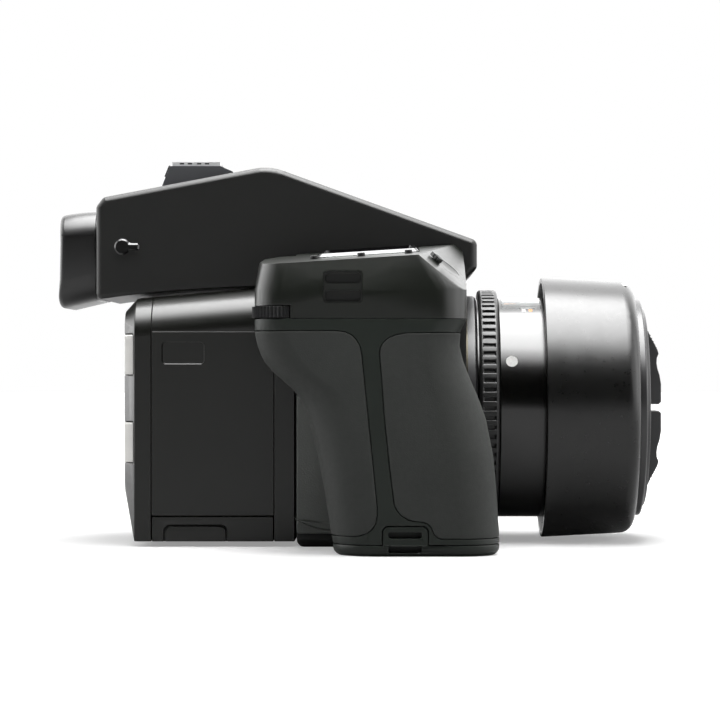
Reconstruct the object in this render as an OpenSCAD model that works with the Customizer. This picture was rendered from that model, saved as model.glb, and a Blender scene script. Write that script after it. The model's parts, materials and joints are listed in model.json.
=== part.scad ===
// Medium format single lens reflex camera with prism finder, digital back, hand grip and short lens.
// Millimetres. +X points forward along the optical axis, +Y to the far side, +Z up.
// The origin is the mouth of the large tripod thread in the base.

/* [Body] */
// Half width of the body casting on the grip side
body_right = 46; // [45.5:0.25:46.5]
// Half width of the body casting on the far side
body_left = 48; // [47.5:0.25:49]
// Front face of the body casting
body_front = 26; // [25.75:0.25:26.5]
// Height of the optical axis above the base
axis_height = 45; // [45:0.25:46]
// Wall radius of the large tripod thread
tripod_radius = 4.76; // [4.7:0.02:4.8]
// Wall radius of the small tripod thread
small_tripod_radius = 3.175; // [3.15:0.005:3.2]

/* [Finder] */
// Half width of the prism housing
finder_half = 33; // [32:0.25:33.25]
// Radius of the soft edges of the prism housing
finder_edge = 2.5; // [2:0.1:2.8]
// Half width of the eyecup
eyecup_half = 24; // [22:0.5:26]
// Slot width of the accessory shoe
shoe_slot = 18.7; // [18.6:0.05:18.8]

/* [Grip] */
// Reach of the grip out from the optical axis
grip_reach = 92; // [91:0.25:93]
// Thickness of the rubber and frame over the grip core
skin = 1.3; // [1.1:0.1:1.6]
// Width of the seam between rubber and frame
seam = 0.3; // [0.25:0.05:0.4]

/* [Lens] */
// Radius of the lens barrel
barrel_radius = 37.4; // [36.8:0.1:38]
// Height of the ridged ring above the barrel
ridge_height = 2.6; // [2.2:0.1:2.8]
// Number of slots round the ridged ring
ridge_slots = 80; // [60:4:88]
// Room between the barrel and the outside of the hood's rim
hood_room = 6.9; // [6.6:0.1:7.1]
// Wall of the barrel outside the filter thread
rim_wall = 1.4; // [1.3:0.1:1.8]

/* [Digital back] */
// Half width of the digital back
back_half = 43; // [42:0.25:43.5]
// Radius of the rounded upper edges
back_round = 13; // [11:0.5:14]
// Underside of the digital back
back_bottom = 1.7; // [1.4:0.1:2.2]

/* [Controls] */
// Radius of the rear dial
rear_dial_radius = 8.3; // [8:0.1:8.4]
// Radius of the mode dial
mode_dial_radius = 10.5; // [9:0.25:11]
// Radius of the shutter button
shutter_radius = 4.3; // [4:0.1:4.4]
// Travel of the small push buttons
press_travel = 0.8; // [0.5:0.1:1]

/* [Fits] */
// Radial running clearance of a pin in its bore
run_fit = 0.08; // [0.04:0.01:0.1]
// Clearance round buttons and sliding parts
slide_fit = 0.3; // [0.3:0.02:0.4]

/* [Hidden] */

ring_facets = 96;
fine_facets = 48;
reach = 1;

// Colours of the finishes
black_paint = [0.06, 0.06, 0.065];
dark_paint = [0.1, 0.105, 0.1];
rubber_grey = [0.16, 0.165, 0.165];
soft_black = [0.035, 0.035, 0.037];
satin_metal = [0.72, 0.72, 0.71];
silver_key = [0.86, 0.87, 0.87];
clear_glass = [0.75, 0.82, 0.85, 0.35];

// Levels and planes of the body
base_top = 4.4;
body_top = 86;
cover_wall = 1;
grip_plane = -(body_right + cover_wall);
mount_depth = 4;
mount_face = body_front + mount_depth;
focal_depth = 63.3;
focal_plane = mount_face - focal_depth;
back_seat = 3.3;
back_plane = focal_plane + back_seat;
body_rear = back_plane + 0.8;
side_cover_front = body_front - 4;

// Mirror box, gate and shutter
mirror_half = 31;
mirror_rear = back_plane + 5.5;
mirror_drop = 29;
mirror_roof = 80;
front_wall = 1.6;
throat_radius = 31;
gate_half = 28;
gate_rise = 21;
shutter_front = back_plane + 4.2;
curtain_rear = back_plane + 1.6;
curtain_front = curtain_rear + 0.8;
curtain_margin = [4, 6];
shutter_half = 37;
shutter_drop = 31;
shutter_rise = 30;
hinge_x = back_plane + 7.6;
hinge_rise = 22;
mirror_reach = 45;
mirror_wide = 28;
mirror_thick = 1.2;
pin_radius = 1.4;
pin_seat = 3;
screen_seat = 83;
screen_thick = 1.6;

// Lens release, far side cover, sync socket and mode dial
release_y = 42.6;
release_radius = 4.1;
far_depth = 9;
far_corner = 7;
sync_x = 10;
sync_z = 52;
sync_radius = 5;
shoulder_top = 93;
mode_x = -6;
mode_y = finder_half + 0.6 + 11.8;
mode_pin = 3;

// Tripod plate
tripod_half = 10;
tripod_rear = body_rear + 2.2;
tripod_front = 11;
tripod_depth = 9;
small_tripod_x = tripod_rear + 9;

// Prism housing: centres of the rounded corners, seen from the side
peak_centre = [-40.3, 106.2];
peak_round = 16;
finder_rear = -96.2;
finder_corners = concat([[finder_rear + finder_edge, 110.9], [finder_rear + finder_edge + 1.3, 112.6]],
    [for (angle = [100.6 : -6.1 : 70]) peak_centre + peak_round * [cos(angle), sin(angle)]],
    [[27.4, 98.8], [27.4, 92.4], [24.2, 89.2], [finder_rear + finder_edge, 83.4]]);
arch_top = [-35.4, 85.5];
arch_radius = 400;
lever_x = -87.2;
lever_z = 98.3;
lever_pin = 1.2;
lever_radius = 2.65;
shoe_metal = 1.2;
shoe_half = shoe_slot / 2 + shoe_metal;
shoe_cheek = 1.85;
shoe_floor = 123.9;
shoe_from = -72.7;
shoe_to = -56.5;
cup_depth = 13.8;
cup_wall = 3.5;
cup_round = 9.5;
cup_low = -19.9;
cup_high = 12.7;
tunnel_half = 12;
tunnel_rise = 6.5;
glass_outline = [[-26, 86], [21, 86], [21, 92], [-28, 110.6], [-42, 115.2], [-54, 113],
    [-54, 91], [-34, 89.6]];
glass_half = 28.6;
screen_half = 27.6;

// Top control cover
cover_low = 73.7;
cover_crease = 82.7;
cover_cap = 102;
cover_rear = -41;
cover_front = 25.2;
cover_corner = 10;
cover_lean = 5.7;
cover_lean_front = 12;
cover_lean_rear = 3.2;
cover_inner = -(finder_half + 0.6);
plate_height = 96.7;
plate_rise = 0.0626;
plate_tilt = 0.0883;
plate_roll = asin(plate_tilt / norm([plate_rise, plate_tilt, 1]));
plate_pitch = -atan(plate_rise);
deck_roll = 12.2;
deck_pitch = 39;
deck_normal = [cos(deck_roll) * sin(deck_pitch), -sin(deck_roll), cos(deck_roll) * cos(deck_pitch)];
deck_level = deck_normal * [cover_front - cover_corner, -grip_reach + cover_corner, cover_crease]
    + cover_corner * norm([deck_normal.x, deck_normal.y]);
function deck_z(x, y) = (deck_level - deck_normal.x * x - deck_normal.y * y) / deck_normal.z;
function plate_z(x, y) = plate_height + plate_rise * x + plate_tilt * (y + 45);
deck_spot = [cover_front - 5.6, -grip_reach + 19];
lever_turn = -137;
lever_ring = 2.2;
lever_thick = 1.7;
lever_tab = [2.2, 3, 1.3];
shutter_travel = 1.5;
dial_x = cover_rear + rear_dial_radius - 0.7;
dial_y = -grip_reach + rear_dial_radius - 0.5;
dial_low = 73.9;
dial_high = 77.4;
dial_pin = 1.6;
button_row = -grip_reach + 17;
button_stations = [-22.7, -7.8, 7.1];
button_radius = 1.2;
window_x = -5.8;
window_y = -grip_reach + 34;
window_size = [32.6, 26];

// Strap lugs moulded in the cover and the grip base
lug_low = 78.5;
lug_high = 88.5;
lug_from = -19.4;
lug_to = -7.2;
lug_depth = 5.4;
lug_bar = 2.2;
lug_face = 2.2;
lug_slot = [11, 3.4];
lug_round = 1.3;
foot_lug_from = -0.9;
foot_lug_to = 13;
foot_lug_high = 9.3;
foot_slot = [10.4, 2];
foot_slots = [2.2, 6.6];

// Grip: rear and front contours, corner radii and swell against height
grip_low = 3.4;
grip_top = cover_low;
foot_low = 0;
rear_contour = [[0, -16.2], [3.4, -16.6], [7.3, -17.3], [13.6, -18.3], [23.1, -19.8], [30.9, -21.4],
    [38.8, -23.3], [45.1, -25.3], [49.5, -27.5], [52, -29.6], [54.6, -32.6], [57.1, -35.4], [60.2, -38],
    [64, -39.9], [68.7, -40.9], [73.7, -41]];
front_contour = [[0, 35.2], [5, 35.6], [11.3, 35.1], [21, 34.5], [30.7, 33.6], [42, 31.4], [48.3, 29.2],
    [55.2, 26.2], [60.8, 24], [65.2, 23], [69.9, 23.3], [73.7, 25.2]];
rear_rounding = [[0, 14], [45, 15], [60, 13], [73.7, 10]];
front_rounding = [[0, 12], [45, 14], [65, 11], [73.7, 10]];
swell = [[0, -0.2], [30, 0.8], [55, 0.6], [73.7, 0]];
rear_step = 6;
front_step = 8;
glue = 0.12;
grip_turns = [0, 0.34, 0.67, 1, 1.12, 1.25, 1.38, 1.5, 1.62, 1.75, 1.88, 2, 2.17, 2.34, 2.5, 2.67, 2.84,
    3, 3.12, 3.25, 3.38, 3.5, 3.62, 3.75, 3.88, 4, 4.34, 4.67, 5];
solid_turns = [for (turn = grip_turns)
    if (turn == 0 || turn == 5 || (turn >= 1 && turn <= 2) || (turn >= 3 && turn <= 4)) turn];
grip_levels = [3.7, 7.3, 11.3, 16, 21, 26, 30.8, 35, 38.8, 42, 45.1, 47.3, 49.5, 52, 54.6, 57.1, 60.2, 62.5,
    65.2, 67.2, 68.7, 69.9, 71.5, 73.5];
// Edges of the two rubber panels beside the hard band, as X and Z
rear_edge = [[-60, 6.3], [-10.1, 6.3], [-8, 6.6], [-5.7, 7.4], [-4.2, 8.7], [-3.2, 10.3], [-2.8, 12.7],
    [-2.8, 15.6], [-4.6, 33.8], [-6.4, 51.3], [-7.5, 62.2], [-8.1, 65], [-9.2, 67], [-10.6, 68.4],
    [-12.6, 69.3], [-15.2, 69.7], [-60, 69.7]];
front_edge = [[60, 69.6], [6.4, 69], [3.4, 68.5], [1.2, 67.7], [-0.5, 66.3], [-1.5, 64.7], [-1.8, 62.6],
    [-1.3, 57.1], [-0.2, 41.8], [1.6, 25.1], [2.7, 16.4], [3.4, 14.6], [4.8, 12.9], [7, 11.5], [9.2, 11.1],
    [11.8, 10.8], [13.2, 10.2], [14.2, 9], [14.9, 7.2], [15.8, 6.1], [17.2, 5.6], [60, 5.6]];
pack_from = [-9, -grip_reach + 8.4];
pack_gap = 7;
pack_to = [13.4, grip_plane - pack_gap];
pack_high = 64;
lid_margin = 1.4;
lid_low = 0.7;
lock_spot = (pack_from + pack_to) / 2;
lock_radius = 8;

// Lens, with lengths measured ahead of the mount face
neck_radius = barrel_radius - 0.4;
ridge_radius = barrel_radius + ridge_height;
hood_radius = barrel_radius + hood_room;
filter_radius = barrel_radius - rim_wall;
focus_seat = barrel_radius - 0.5;
focus_from = 26;
focus_to = 46;
focus_travel = 3;
rim_end = 52.4;
bore_radius = barrel_radius - 4.4;
bore_from = 14;
rear_bore = 17;
tail_radius = 28;
cell_wall = 11;
cell_bore = bore_radius - cell_wall;
cell_from = 24;
cell_to = 40.5;
iris_from = 18;
iris_bore = 13;
glass_fit = 0.05;
ridge_from = 0.6;
ridge_to = 7.2;
ridge_length = 3.9;
ridge_depth = 0.9;
hood_from = 22.4;
hood_to = 53.6;
hood_wall = 1.8;
hood_front = hood_radius - 1.4;
hood_bend = 4.5;
hood_seat = barrel_radius + run_fit;
cap_radius = barrel_radius - 0.5;
cap_seat = rim_end + 0.1;
cap_back = rim_end + 0.6;
cap_plug = rim_end - 2.9;
cap_shoulder = rim_end + 3.6;
cap_face = rim_end + 4.8;
tab_half = 9;
tab_end = 26;
tab_gap = 1.1;
tab_floor = rim_end + 1.8;
tab_top = rim_end + 10.5;
scale_from = 8.7;
scale_to = 21.6;
scale_depth = 1.4;
scale_turn = 27;
front_lip = [bore_radius - 6, 46];

// Digital back, with its top falling away to the rear
back_top = 85.9;
back_fall = 4.95;
adapter_depth = 6.7;
adapter_rear = back_plane - adapter_depth;
shell_rear = adapter_rear - 40.2;
rim_rear = shell_rear - 5.5;
screen_face = shell_rear - 9.3;
panel_low = 10;
panel_high = 70.4;
panel_thick = 1.5;
wall = 2.2;
bay_from = shell_rear + 1.5;
bay_to = adapter_rear - 5.3;
bay_inner = -19.6;
bay_high = 68.6;
sensor_half = 26.95;
sensor_rise = 20.2;
board_half = 33;
board_rise = 26;
screen_half_width = 31;
screen_high = 51;
screen_middle = 48.2;
face_low = 16.6;
face_high = 77;
face_inset = 7;
badge_size = [13.7, 7.1];
badge_spot = [shell_rear + 10.45, panel_high - 7.15];
catch_size = [20.8, 11.4];
catch_spot = [shell_rear + 14.5, back_bottom - 0.2];
catch_line = 0.55;
key_upper = 62.75;
key_lower = 34.05;
key_rise = 6.5;
key_half = 3.4;

module span(low, high) {
    translate(low) cube(high - low);
}

module along_x(from, to) {
    translate([from, 0, 0]) rotate([90, 0, 90]) linear_extrude(height = to - from) children();
}

module along_y(from, to) {
    translate([0, to, 0]) rotate([90, 0, 0]) linear_extrude(height = to - from) children();
}

module rounded(width, height, radius) {
    square([width - 2 * radius, height], center = true);
    square([width, height - 2 * radius], center = true);
    for (side = [-1, 1], end = [-1, 1])
        translate([side * (width / 2 - radius), end * (height / 2 - radius)]) circle(radius, $fn = fine_facets);
}

module on_axis() {
    translate([mount_face, 0, axis_height]) rotate([0, 90, 0]) children();
}

module turned(outline) {
    on_axis() rotate_extrude($fn = ring_facets) polygon(outline);
}

module on_deck() {
    translate([deck_spot.x, deck_spot.y, deck_z(deck_spot.x, deck_spot.y)])
        rotate([deck_roll, deck_pitch, 0]) children();
}

module on_plate(x, y) {
    translate([x, y, plate_z(x, y)]) rotate([plate_roll, plate_pitch, 0]) children();
}

// Die cast body: mirror box, lens throat, film gate and finder opening
module body_frame() {
    color(dark_paint) difference() {
        union() {
            span([body_rear, -body_right, base_top], [body_front, body_left, body_top]);
            span([back_plane, -shutter_half - 3, 8], [body_rear, shutter_half + 3, 81]);
        }
        span([mirror_rear, -mirror_half, axis_height - mirror_drop],
            [body_front - front_wall, mirror_half, mirror_roof]);
        on_axis() translate([0, 0, -mount_depth - front_wall - reach])
            cylinder(r = throat_radius, h = front_wall + 2 * reach, $fn = ring_facets);
        span([mirror_rear + 2.5, -screen_half + 2, mirror_roof - reach],
            [18, screen_half - 2, body_top + reach]);
        span([mirror_rear + 0.5, -screen_half, screen_seat], [20, screen_half, body_top + reach]);
        span([shutter_front - reach, -gate_half, axis_height - gate_rise],
            [mirror_rear + reach, gate_half, axis_height + gate_rise]);
        span([back_plane - reach, -shutter_half, axis_height - shutter_drop],
            [shutter_front, shutter_half, axis_height + shutter_rise]);
        translate([hinge_x, mirror_half + pin_seat, axis_height + hinge_rise]) rotate([90, 0, 0])
            cylinder(r = pin_radius + run_fit, h = 2 * (mirror_half + pin_seat), $fn = fine_facets);
        span([tripod_rear, -tripod_half, base_top - reach], [tripod_front, tripod_half, tripod_depth]);
        translate([body_front - 5, release_y, axis_height]) rotate([0, 90, 0])
            cylinder(r = release_radius + slide_fit, h = 5 + reach, $fn = fine_facets);
    }
}

// Base cover under the body, chamfered along its lower edges and rounded at both ends
module base_plate() {
    chamfer = 2.4;
    color(black_paint) difference() {
        intersection() {
            along_x(body_rear, body_front) polygon([[-body_right, base_top], [-body_right, chamfer],
                [-body_right + chamfer, 0], [body_left - chamfer, 0], [body_left, chamfer],
                [body_left, base_top]]);
            along_y(-body_right - reach, body_left + reach)
                translate([(body_rear + body_front) / 2, base_top])
                    rounded(body_front - body_rear, 2 * base_top, chamfer);
        }
        span([tripod_rear, -tripod_half, -reach], [tripod_front, tripod_half, base_top + reach]);
    }
}

// Steel plate with the two tripod threads
module tripod_plate() {
    color(satin_metal) difference() {
        span([tripod_rear, -tripod_half, 0], [tripod_front, tripod_half, tripod_depth]);
        translate([0, 0, -reach]) cylinder(r = tripod_radius, h = tripod_depth - 1 + reach, $fn = fine_facets);
        translate([small_tripod_x, 0, -reach])
            cylinder(r = small_tripod_radius, h = tripod_depth - 1 + reach, $fn = fine_facets);
    }
}

// Covered side wall between the grip and the digital back, with a curved seam above its foot
module right_side_cover() {
    seam_centre = [body_rear + 13, 30.6];
    seam_radius = 25;
    color(rubber_grey) difference() {
        along_y(-body_right - cover_wall, -body_right)
            translate([(body_rear + side_cover_front) / 2, (base_top + cover_low) / 2])
                rounded(side_cover_front - body_rear, cover_low - base_top - 0.2, 0.8);
        along_y(-body_right - cover_wall - reach, -body_right - cover_wall / 2) intersection() {
            translate(seam_centre) difference() {
                circle(seam_radius + seam / 2, $fn = ring_facets);
                circle(seam_radius - seam / 2, $fn = ring_facets);
            }
            translate([body_rear - reach, base_top]) square([20, 8]);
        }
    }
}

// Far side cover with rounded uprights
module left_outline(inner) {
    outer = body_left + far_depth;
    front = body_front - 0.5;
    translate([body_rear, inner]) square([front - body_rear, outer - far_corner - inner]);
    translate([body_rear + far_corner, inner]) square([front - body_rear - 2 * far_corner, outer - inner]);
    intersection() {
        for (x = [body_rear + far_corner, front - far_corner])
            translate([x, outer - far_corner]) circle(far_corner, $fn = fine_facets);
        translate([body_rear, inner]) square([front - body_rear, outer - inner]);
    }
}

module left_cover() {
    color(rubber_grey) difference() {
        translate([0, 0, base_top]) linear_extrude(height = cover_low - base_top) left_outline(body_left);
        translate([sync_x, body_left + far_depth - 3, sync_z]) rotate([-90, 0, 0])
            cylinder(r = sync_radius, h = 3 + reach, $fn = fine_facets);
    }
}

// Flash synchronising socket
module sync_terminal() {
    color(satin_metal) translate([sync_x, body_left + far_depth - 3, sync_z]) rotate([-90, 0, 0]) difference() {
        cylinder(r = sync_radius, h = 4, $fn = fine_facets);
        translate([0, 0, 1.5]) difference() {
            cylinder(r = sync_radius - 1.2, h = 4, $fn = fine_facets);
            cylinder(r = 1.2, h = 4, $fn = fine_facets);
        }
    }
}

// Far shoulder that carries the mode dial
module left_shoulder() {
    color(dark_paint) difference() {
        translate([0, 0, cover_low]) linear_extrude(height = shoulder_top - cover_low)
            left_outline(finder_half + 0.6);
        span([body_rear - reach, 0, cover_low - reach], [body_front + reach, body_left, body_top]);
        translate([mode_x, mode_y, shoulder_top - 6])
            cylinder(r = mode_pin + run_fit, h = 6 + reach, $fn = fine_facets);
    }
}

// Knurled mode dial on its spindle
module mode_dial() {
    teeth = 60;
    color(black_paint) translate([mode_x, mode_y, shoulder_top]) {
        translate([0, 0, 0.4]) linear_extrude(height = 7) polygon([for (i = [0 : 2 * teeth - 1])
            (mode_dial_radius - (i % 2) * 0.4) * [cos(i * 180 / teeth), sin(i * 180 / teeth)]]);
        translate([0, 0, -5.6]) cylinder(r = mode_pin, h = 6.2, $fn = fine_facets);
        translate([0, 0, 7.4]) cylinder(r1 = mode_dial_radius - 0.8, r2 = mode_dial_radius - 1.8, h = 0.8,
            $fn = fine_facets);
    }
}

// Prism housing: soft edged hood over the finder, overhanging the digital back
module shoe_seat() {
    along_y(-shoe_half - shoe_cheek, shoe_half + shoe_cheek) polygon([[shoe_from - 4.6, shoe_floor - 7.2],
        [shoe_from - 0.6, shoe_floor + 2.7], [shoe_to + 0.1, shoe_floor + 2.7], [shoe_to + 4.4, shoe_floor + 0.9],
        [shoe_to + 5.6, shoe_floor - 3.5], [shoe_from - 2, shoe_floor - 7.7]]);
}

module glass_block(grow) {
    along_y(-glass_half - grow, glass_half + grow) offset(delta = grow) polygon(glass_outline);
}

module tunnel(from, to) {
    translate([0, 0, lever_z]) along_x(from, to) rounded(2 * tunnel_half, 2 * tunnel_rise, 1);
}

module prism_housing() {
    color(black_paint) difference() {
        hull() for (corner = finder_corners, side = [-1, 1])
            translate([corner.x, side * (finder_half - finder_edge), corner.y]) sphere(finder_edge, $fn = 20);
        along_y(-finder_half - reach, finder_half + reach) polygon([[-100, 60], [-100, 79.9],
            [back_plane + 0.3, 86.6], [back_plane + 0.3, body_top], [60, body_top], [60, 60]]);
        translate([arch_top.x, 0, arch_top.y - arch_radius]) rotate([90, 0, 0])
            cylinder(r = arch_radius, h = 2 * finder_half + 2 * reach, center = true, $fn = 4 * ring_facets);
        glass_block(slide_fit);
        tunnel(finder_rear - reach, -53);
        shoe_seat();
        translate([lever_x, -finder_half - reach, lever_z]) rotate([-90, 0, 0])
            cylinder(r = lever_pin + run_fit, h = finder_half + reach, $fn = fine_facets);
    }
}

// Glass roof prism standing on the body
module pentaprism() {
    color(clear_glass) glass_block(0);
}

// Ground glass under the prism
module focusing_screen() {
    color(clear_glass) span([mirror_rear + 0.5, -screen_half, screen_seat],
        [20, screen_half, screen_seat + screen_thick]);
}

// Eyepiece glass in the rear of the tunnel
module eyepiece_lens() {
    color(clear_glass) tunnel(finder_rear, finder_rear + 1.5);
}

// Moulded rubber eyecup with a flared lower lip
module eyecup() {
    outline = [[0, -17], [0, cup_high], [-2, cup_high], [-10.4, 11.7], [-12.2, 11], [-12.9, 9.6], [-13.1, 7],
        [-13, 2.5], [-12.8, -2.5], [-12.9, -8], [-13.3, -13], [-cup_depth, -17],
        [-13.6, -19.2], [-12.6, cup_low]];
    color(soft_black) translate([finder_rear, 0, lever_z]) difference() {
        intersection() {
            along_y(-eyecup_half, eyecup_half) polygon(outline);
            translate([0, 0, (cup_low + cup_high) / 2]) along_x(-cup_depth - reach, reach)
                rounded(2 * eyecup_half, cup_high - cup_low, cup_round);
        }
        along_x(-cup_depth - reach, reach) rounded(2 * tunnel_half, 2 * tunnel_rise, 1);
        hull() {
            along_x(-cup_depth - reach, -cup_depth + 1.2) rounded(2 * (eyecup_half - cup_wall), 20, 6);
            along_x(-5.4, -5) rounded(2 * (tunnel_half + 1), 2 * (tunnel_rise + 1), 4);
        }
    }
}

// Keyhole shaped lever that turns the eyepiece blind
module blind_lever() {
    proud = 1.3;
    color(black_paint) translate([lever_x, -finder_half, lever_z]) rotate([90, 0, 0]) {
        translate([0, 0, slide_fit]) cylinder(r = lever_radius, h = proud, $fn = fine_facets);
        translate([0, -1.2, slide_fit]) cube([5.6, 2.4, proud]);
        translate([0, 0, -finder_half + tunnel_half - 0.6]) cylinder(r = lever_pin,
            h = finder_half - tunnel_half + 0.6 + slide_fit, $fn = fine_facets);
    }
}

// Blind that closes the tunnel when the lever is turned down
module blind_flap() {
    color(soft_black) span([lever_x - tunnel_rise + 0.5, -tunnel_half + 0.6, lever_z - 0.4],
        [lever_x + tunnel_rise - 0.5, tunnel_half - 0.6, lever_z + 0.4]);
}

// Plinth of the accessory shoe
module shoe_block() {
    color(dark_paint) difference() {
        shoe_seat();
        span([shoe_from - 10, -shoe_half, shoe_floor], [shoe_to + 10, shoe_half, shoe_floor + 6]);
    }
}

// Bent steel shoe with its two rails
module accessory_shoe() {
    slot_height = 2.05;
    lip = 3.1;
    top = shoe_floor + 1 + slot_height + 1.1;
    color(satin_metal) difference() {
        span([shoe_from, -shoe_half, shoe_floor], [shoe_to, shoe_half, top]);
        span([shoe_from - reach, -shoe_slot / 2, shoe_floor + 1],
            [shoe_to + reach, shoe_slot / 2, shoe_floor + 1 + slot_height]);
        span([shoe_from - reach, -shoe_slot / 2 + lip, shoe_floor + 1],
            [shoe_to + reach, shoe_slot / 2 - lip, top + reach]);
    }
}

// Top control cover over the grip, leaning in above its crease
module cover_ring(height, inset, front_in, rear_in) {
    translate([cover_rear + rear_in + cover_corner, -grip_reach + inset + cover_corner, height])
        cylinder(r = cover_corner, h = 0.01, $fn = fine_facets);
    translate([cover_front - front_in - cover_corner, -grip_reach + inset + cover_corner, height])
        cylinder(r = cover_corner, h = 0.01, $fn = fine_facets);
    translate([cover_front - 2, cover_inner - 0.01, height]) cube([2, 0.01, 0.01]);
    translate([back_plane + 1, cover_inner - 0.01, height]) cube([2, 0.01, 0.01]);
    translate([cover_rear + rear_in, -56, height]) cube([1, 0.01, 0.01]);
}

module top_cover() {
    color(dark_paint) difference() {
        hull() {
            cover_ring(cover_low, 0, 0, 0);
            cover_ring(cover_crease, 0, 0, 0);
            cover_ring(cover_cap, cover_lean, cover_lean_front, cover_lean_rear);
        }
        on_plate(0, -60) span([-90, -90, 0], [90, 90, 40]);
        on_deck() span([-60, -60, 0], [60, 60, 60]);
        span([-60, -body_right, cover_low - reach], [60, 0, body_top]);
        span([-60, -back_half - 1.3, cover_low - reach], [back_plane + 0.3, 0, 130]);
        translate([dial_x, dial_y, cover_low - reach])
            cylinder(r = rear_dial_radius + 0.45, h = dial_high + slide_fit - cover_low + reach, $fn = ring_facets);
        translate([dial_x, dial_y, dial_high]) cylinder(r = dial_pin + run_fit, h = 6, $fn = fine_facets);
        on_plate(window_x, window_y) span([-window_size.x / 2, -window_size.y / 2, -1.2],
            [window_size.x / 2, window_size.y / 2, reach]);
        for (x = button_stations) on_plate(x, button_row) translate([0, 0, -4])
            cylinder(r = button_radius + slide_fit, h = 5, $fn = fine_facets);
        on_deck() {
            translate([0, 0, -7]) cylinder(r = shutter_radius + run_fit, h = 9, $fn = ring_facets);
            translate([0, 0, -lever_thick - slide_fit])
                cylinder(r = shutter_radius + lever_ring + run_fit, h = 4, $fn = ring_facets);
        }
        lug_recess();
    }
}

// Recess for the strap, with a bar left standing between its two slots
module lug_recess() {
    middle = [(lug_from + lug_to) / 2, (lug_low + lug_high) / 2];
    along_y(-grip_reach - reach, -grip_reach + lug_face) translate(middle)
        rounded(lug_to - lug_from, lug_high - lug_low, lug_round);
    for (side = [-1, 1]) along_y(-grip_reach, -grip_reach + lug_depth)
        translate(middle + [0, side * (lug_slot.y + lug_bar) / 2]) rounded(lug_slot.x, lug_slot.y, lug_round);
    along_y(-grip_reach + lug_face + 1.4, -grip_reach + lug_depth) translate(middle)
        square([lug_slot.x, lug_slot.y + lug_bar], center = true);
}

// Glass over the status display
module status_window() {
    color(clear_glass) on_plate(window_x, window_y)
        translate([0, 0, -1.2]) linear_extrude(height = 1.5) rounded(window_size.x, window_size.y, 1.5);
}

module top_button(station) {
    color(soft_black) on_plate(button_stations[station], button_row) translate([0, 0, -4 + press_travel + 0.2])
        cylinder(r = button_radius, h = 4.1, $fn = fine_facets);
}

module top_button_rear() {
    top_button(0);
}

module top_button_middle() {
    top_button(1);
}

module top_button_front() {
    top_button(2);
}

// Shutter button, dished, level with the sloping deck
module shutter_button() {
    color(dark_paint) on_deck() difference() {
        translate([0, 0, -7 + shutter_travel + 0.3])
            cylinder(r = shutter_radius, h = 7 - shutter_travel - 0.3, $fn = ring_facets);
        translate([0, 0, 17.4]) sphere(18, $fn = ring_facets);
    }
}

// Drive lever: a ring sunk round the shutter button, with a finger tab on its rim
module drive_lever() {
    rim = shutter_radius + lever_ring;
    color(black_paint) on_deck() {
        difference() {
            translate([0, 0, -lever_thick]) cylinder(r = rim, h = lever_thick, $fn = ring_facets);
            translate([0, 0, -2 * lever_thick])
                cylinder(r = shutter_radius + run_fit, h = 3 * lever_thick, $fn = ring_facets);
        }
        rotate([0, 0, lever_turn]) translate([0, -lever_tab.y / 2, 0]) {
            span([rim - 1.4, 0, -0.5], [rim - 0.3, lever_tab.y, slide_fit + lever_tab.z]);
            translate([rim - 0.6, 0, slide_fit]) cube(lever_tab);
        }
    }
}

// Knurled rear dial in the thumb corner of the cover
module rear_dial() {
    teeth = 44;
    color(black_paint) translate([dial_x, dial_y, dial_low]) {
        linear_extrude(height = dial_high - dial_low) polygon([for (i = [0 : 2 * teeth - 1])
            (rear_dial_radius - (i % 2) * 0.45) * [cos(i * 180 / teeth), sin(i * 180 / teeth)]]);
        translate([0, 0, dial_high - dial_low - 0.1]) cylinder(r = dial_pin, h = 5.6, $fn = fine_facets);
    }
}

// Point of the grip outline: turn runs from the inner rear edge round the outside to the inner front edge
function section(turn, z, inset) = let (
    rear = lookup(z, rear_contour),
    front = lookup(z, front_contour),
    outer = -grip_reach - lookup(z, swell),
    rear_r = lookup(z, rear_rounding),
    front_r = lookup(z, front_rounding),
    rear_c = [rear + rear_r, outer + rear_r],
    front_c = [front - front_r, outer + front_r],
    rear_angle = 180 + 90 * (turn - 1),
    front_angle = 270 + 90 * (turn - 3))
    turn <= 1 ? (1 - turn) * [rear + rear_step + inset, grip_plane] + turn * [rear + inset, rear_c.y] :
    turn <= 2 ? rear_c + (rear_r - inset) * [cos(rear_angle), sin(rear_angle)] :
    turn <= 3 ? (3 - turn) * [rear_c.x, outer + inset] + (turn - 2) * [front_c.x, outer + inset] :
    turn <= 4 ? front_c + (front_r - inset) * [cos(front_angle), sin(front_angle)] :
    (5 - turn) * [front - inset, front_c.y] + (turn - 4) * [front - front_step - inset, grip_plane];

// Rows hold height, height of the outline used, and inset
module grip_loft(rows) {
    count = len(solid_turns);
    points = [for (row = rows, turn = solid_turns) let (p = section(turn, row[1], row[2])) [p.x, p.y, row[0]]];
    sides = [for (j = [0 : len(rows) - 2], i = [0 : count - 1]) let (
        a = j * count + i, b = (j + 1) * count + i,
        c = (j + 1) * count + (i + 1) % count, d = j * count + (i + 1) % count)
        each [[a, b, c], [a, c, d]]];
    last = (len(rows) - 1) * count;
    polyhedron(points, concat(sides, [[for (i = [0 : count - 1]) i]], [[for (i = [count - 1 : -1 : 0]) last + i]]));
}

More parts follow.
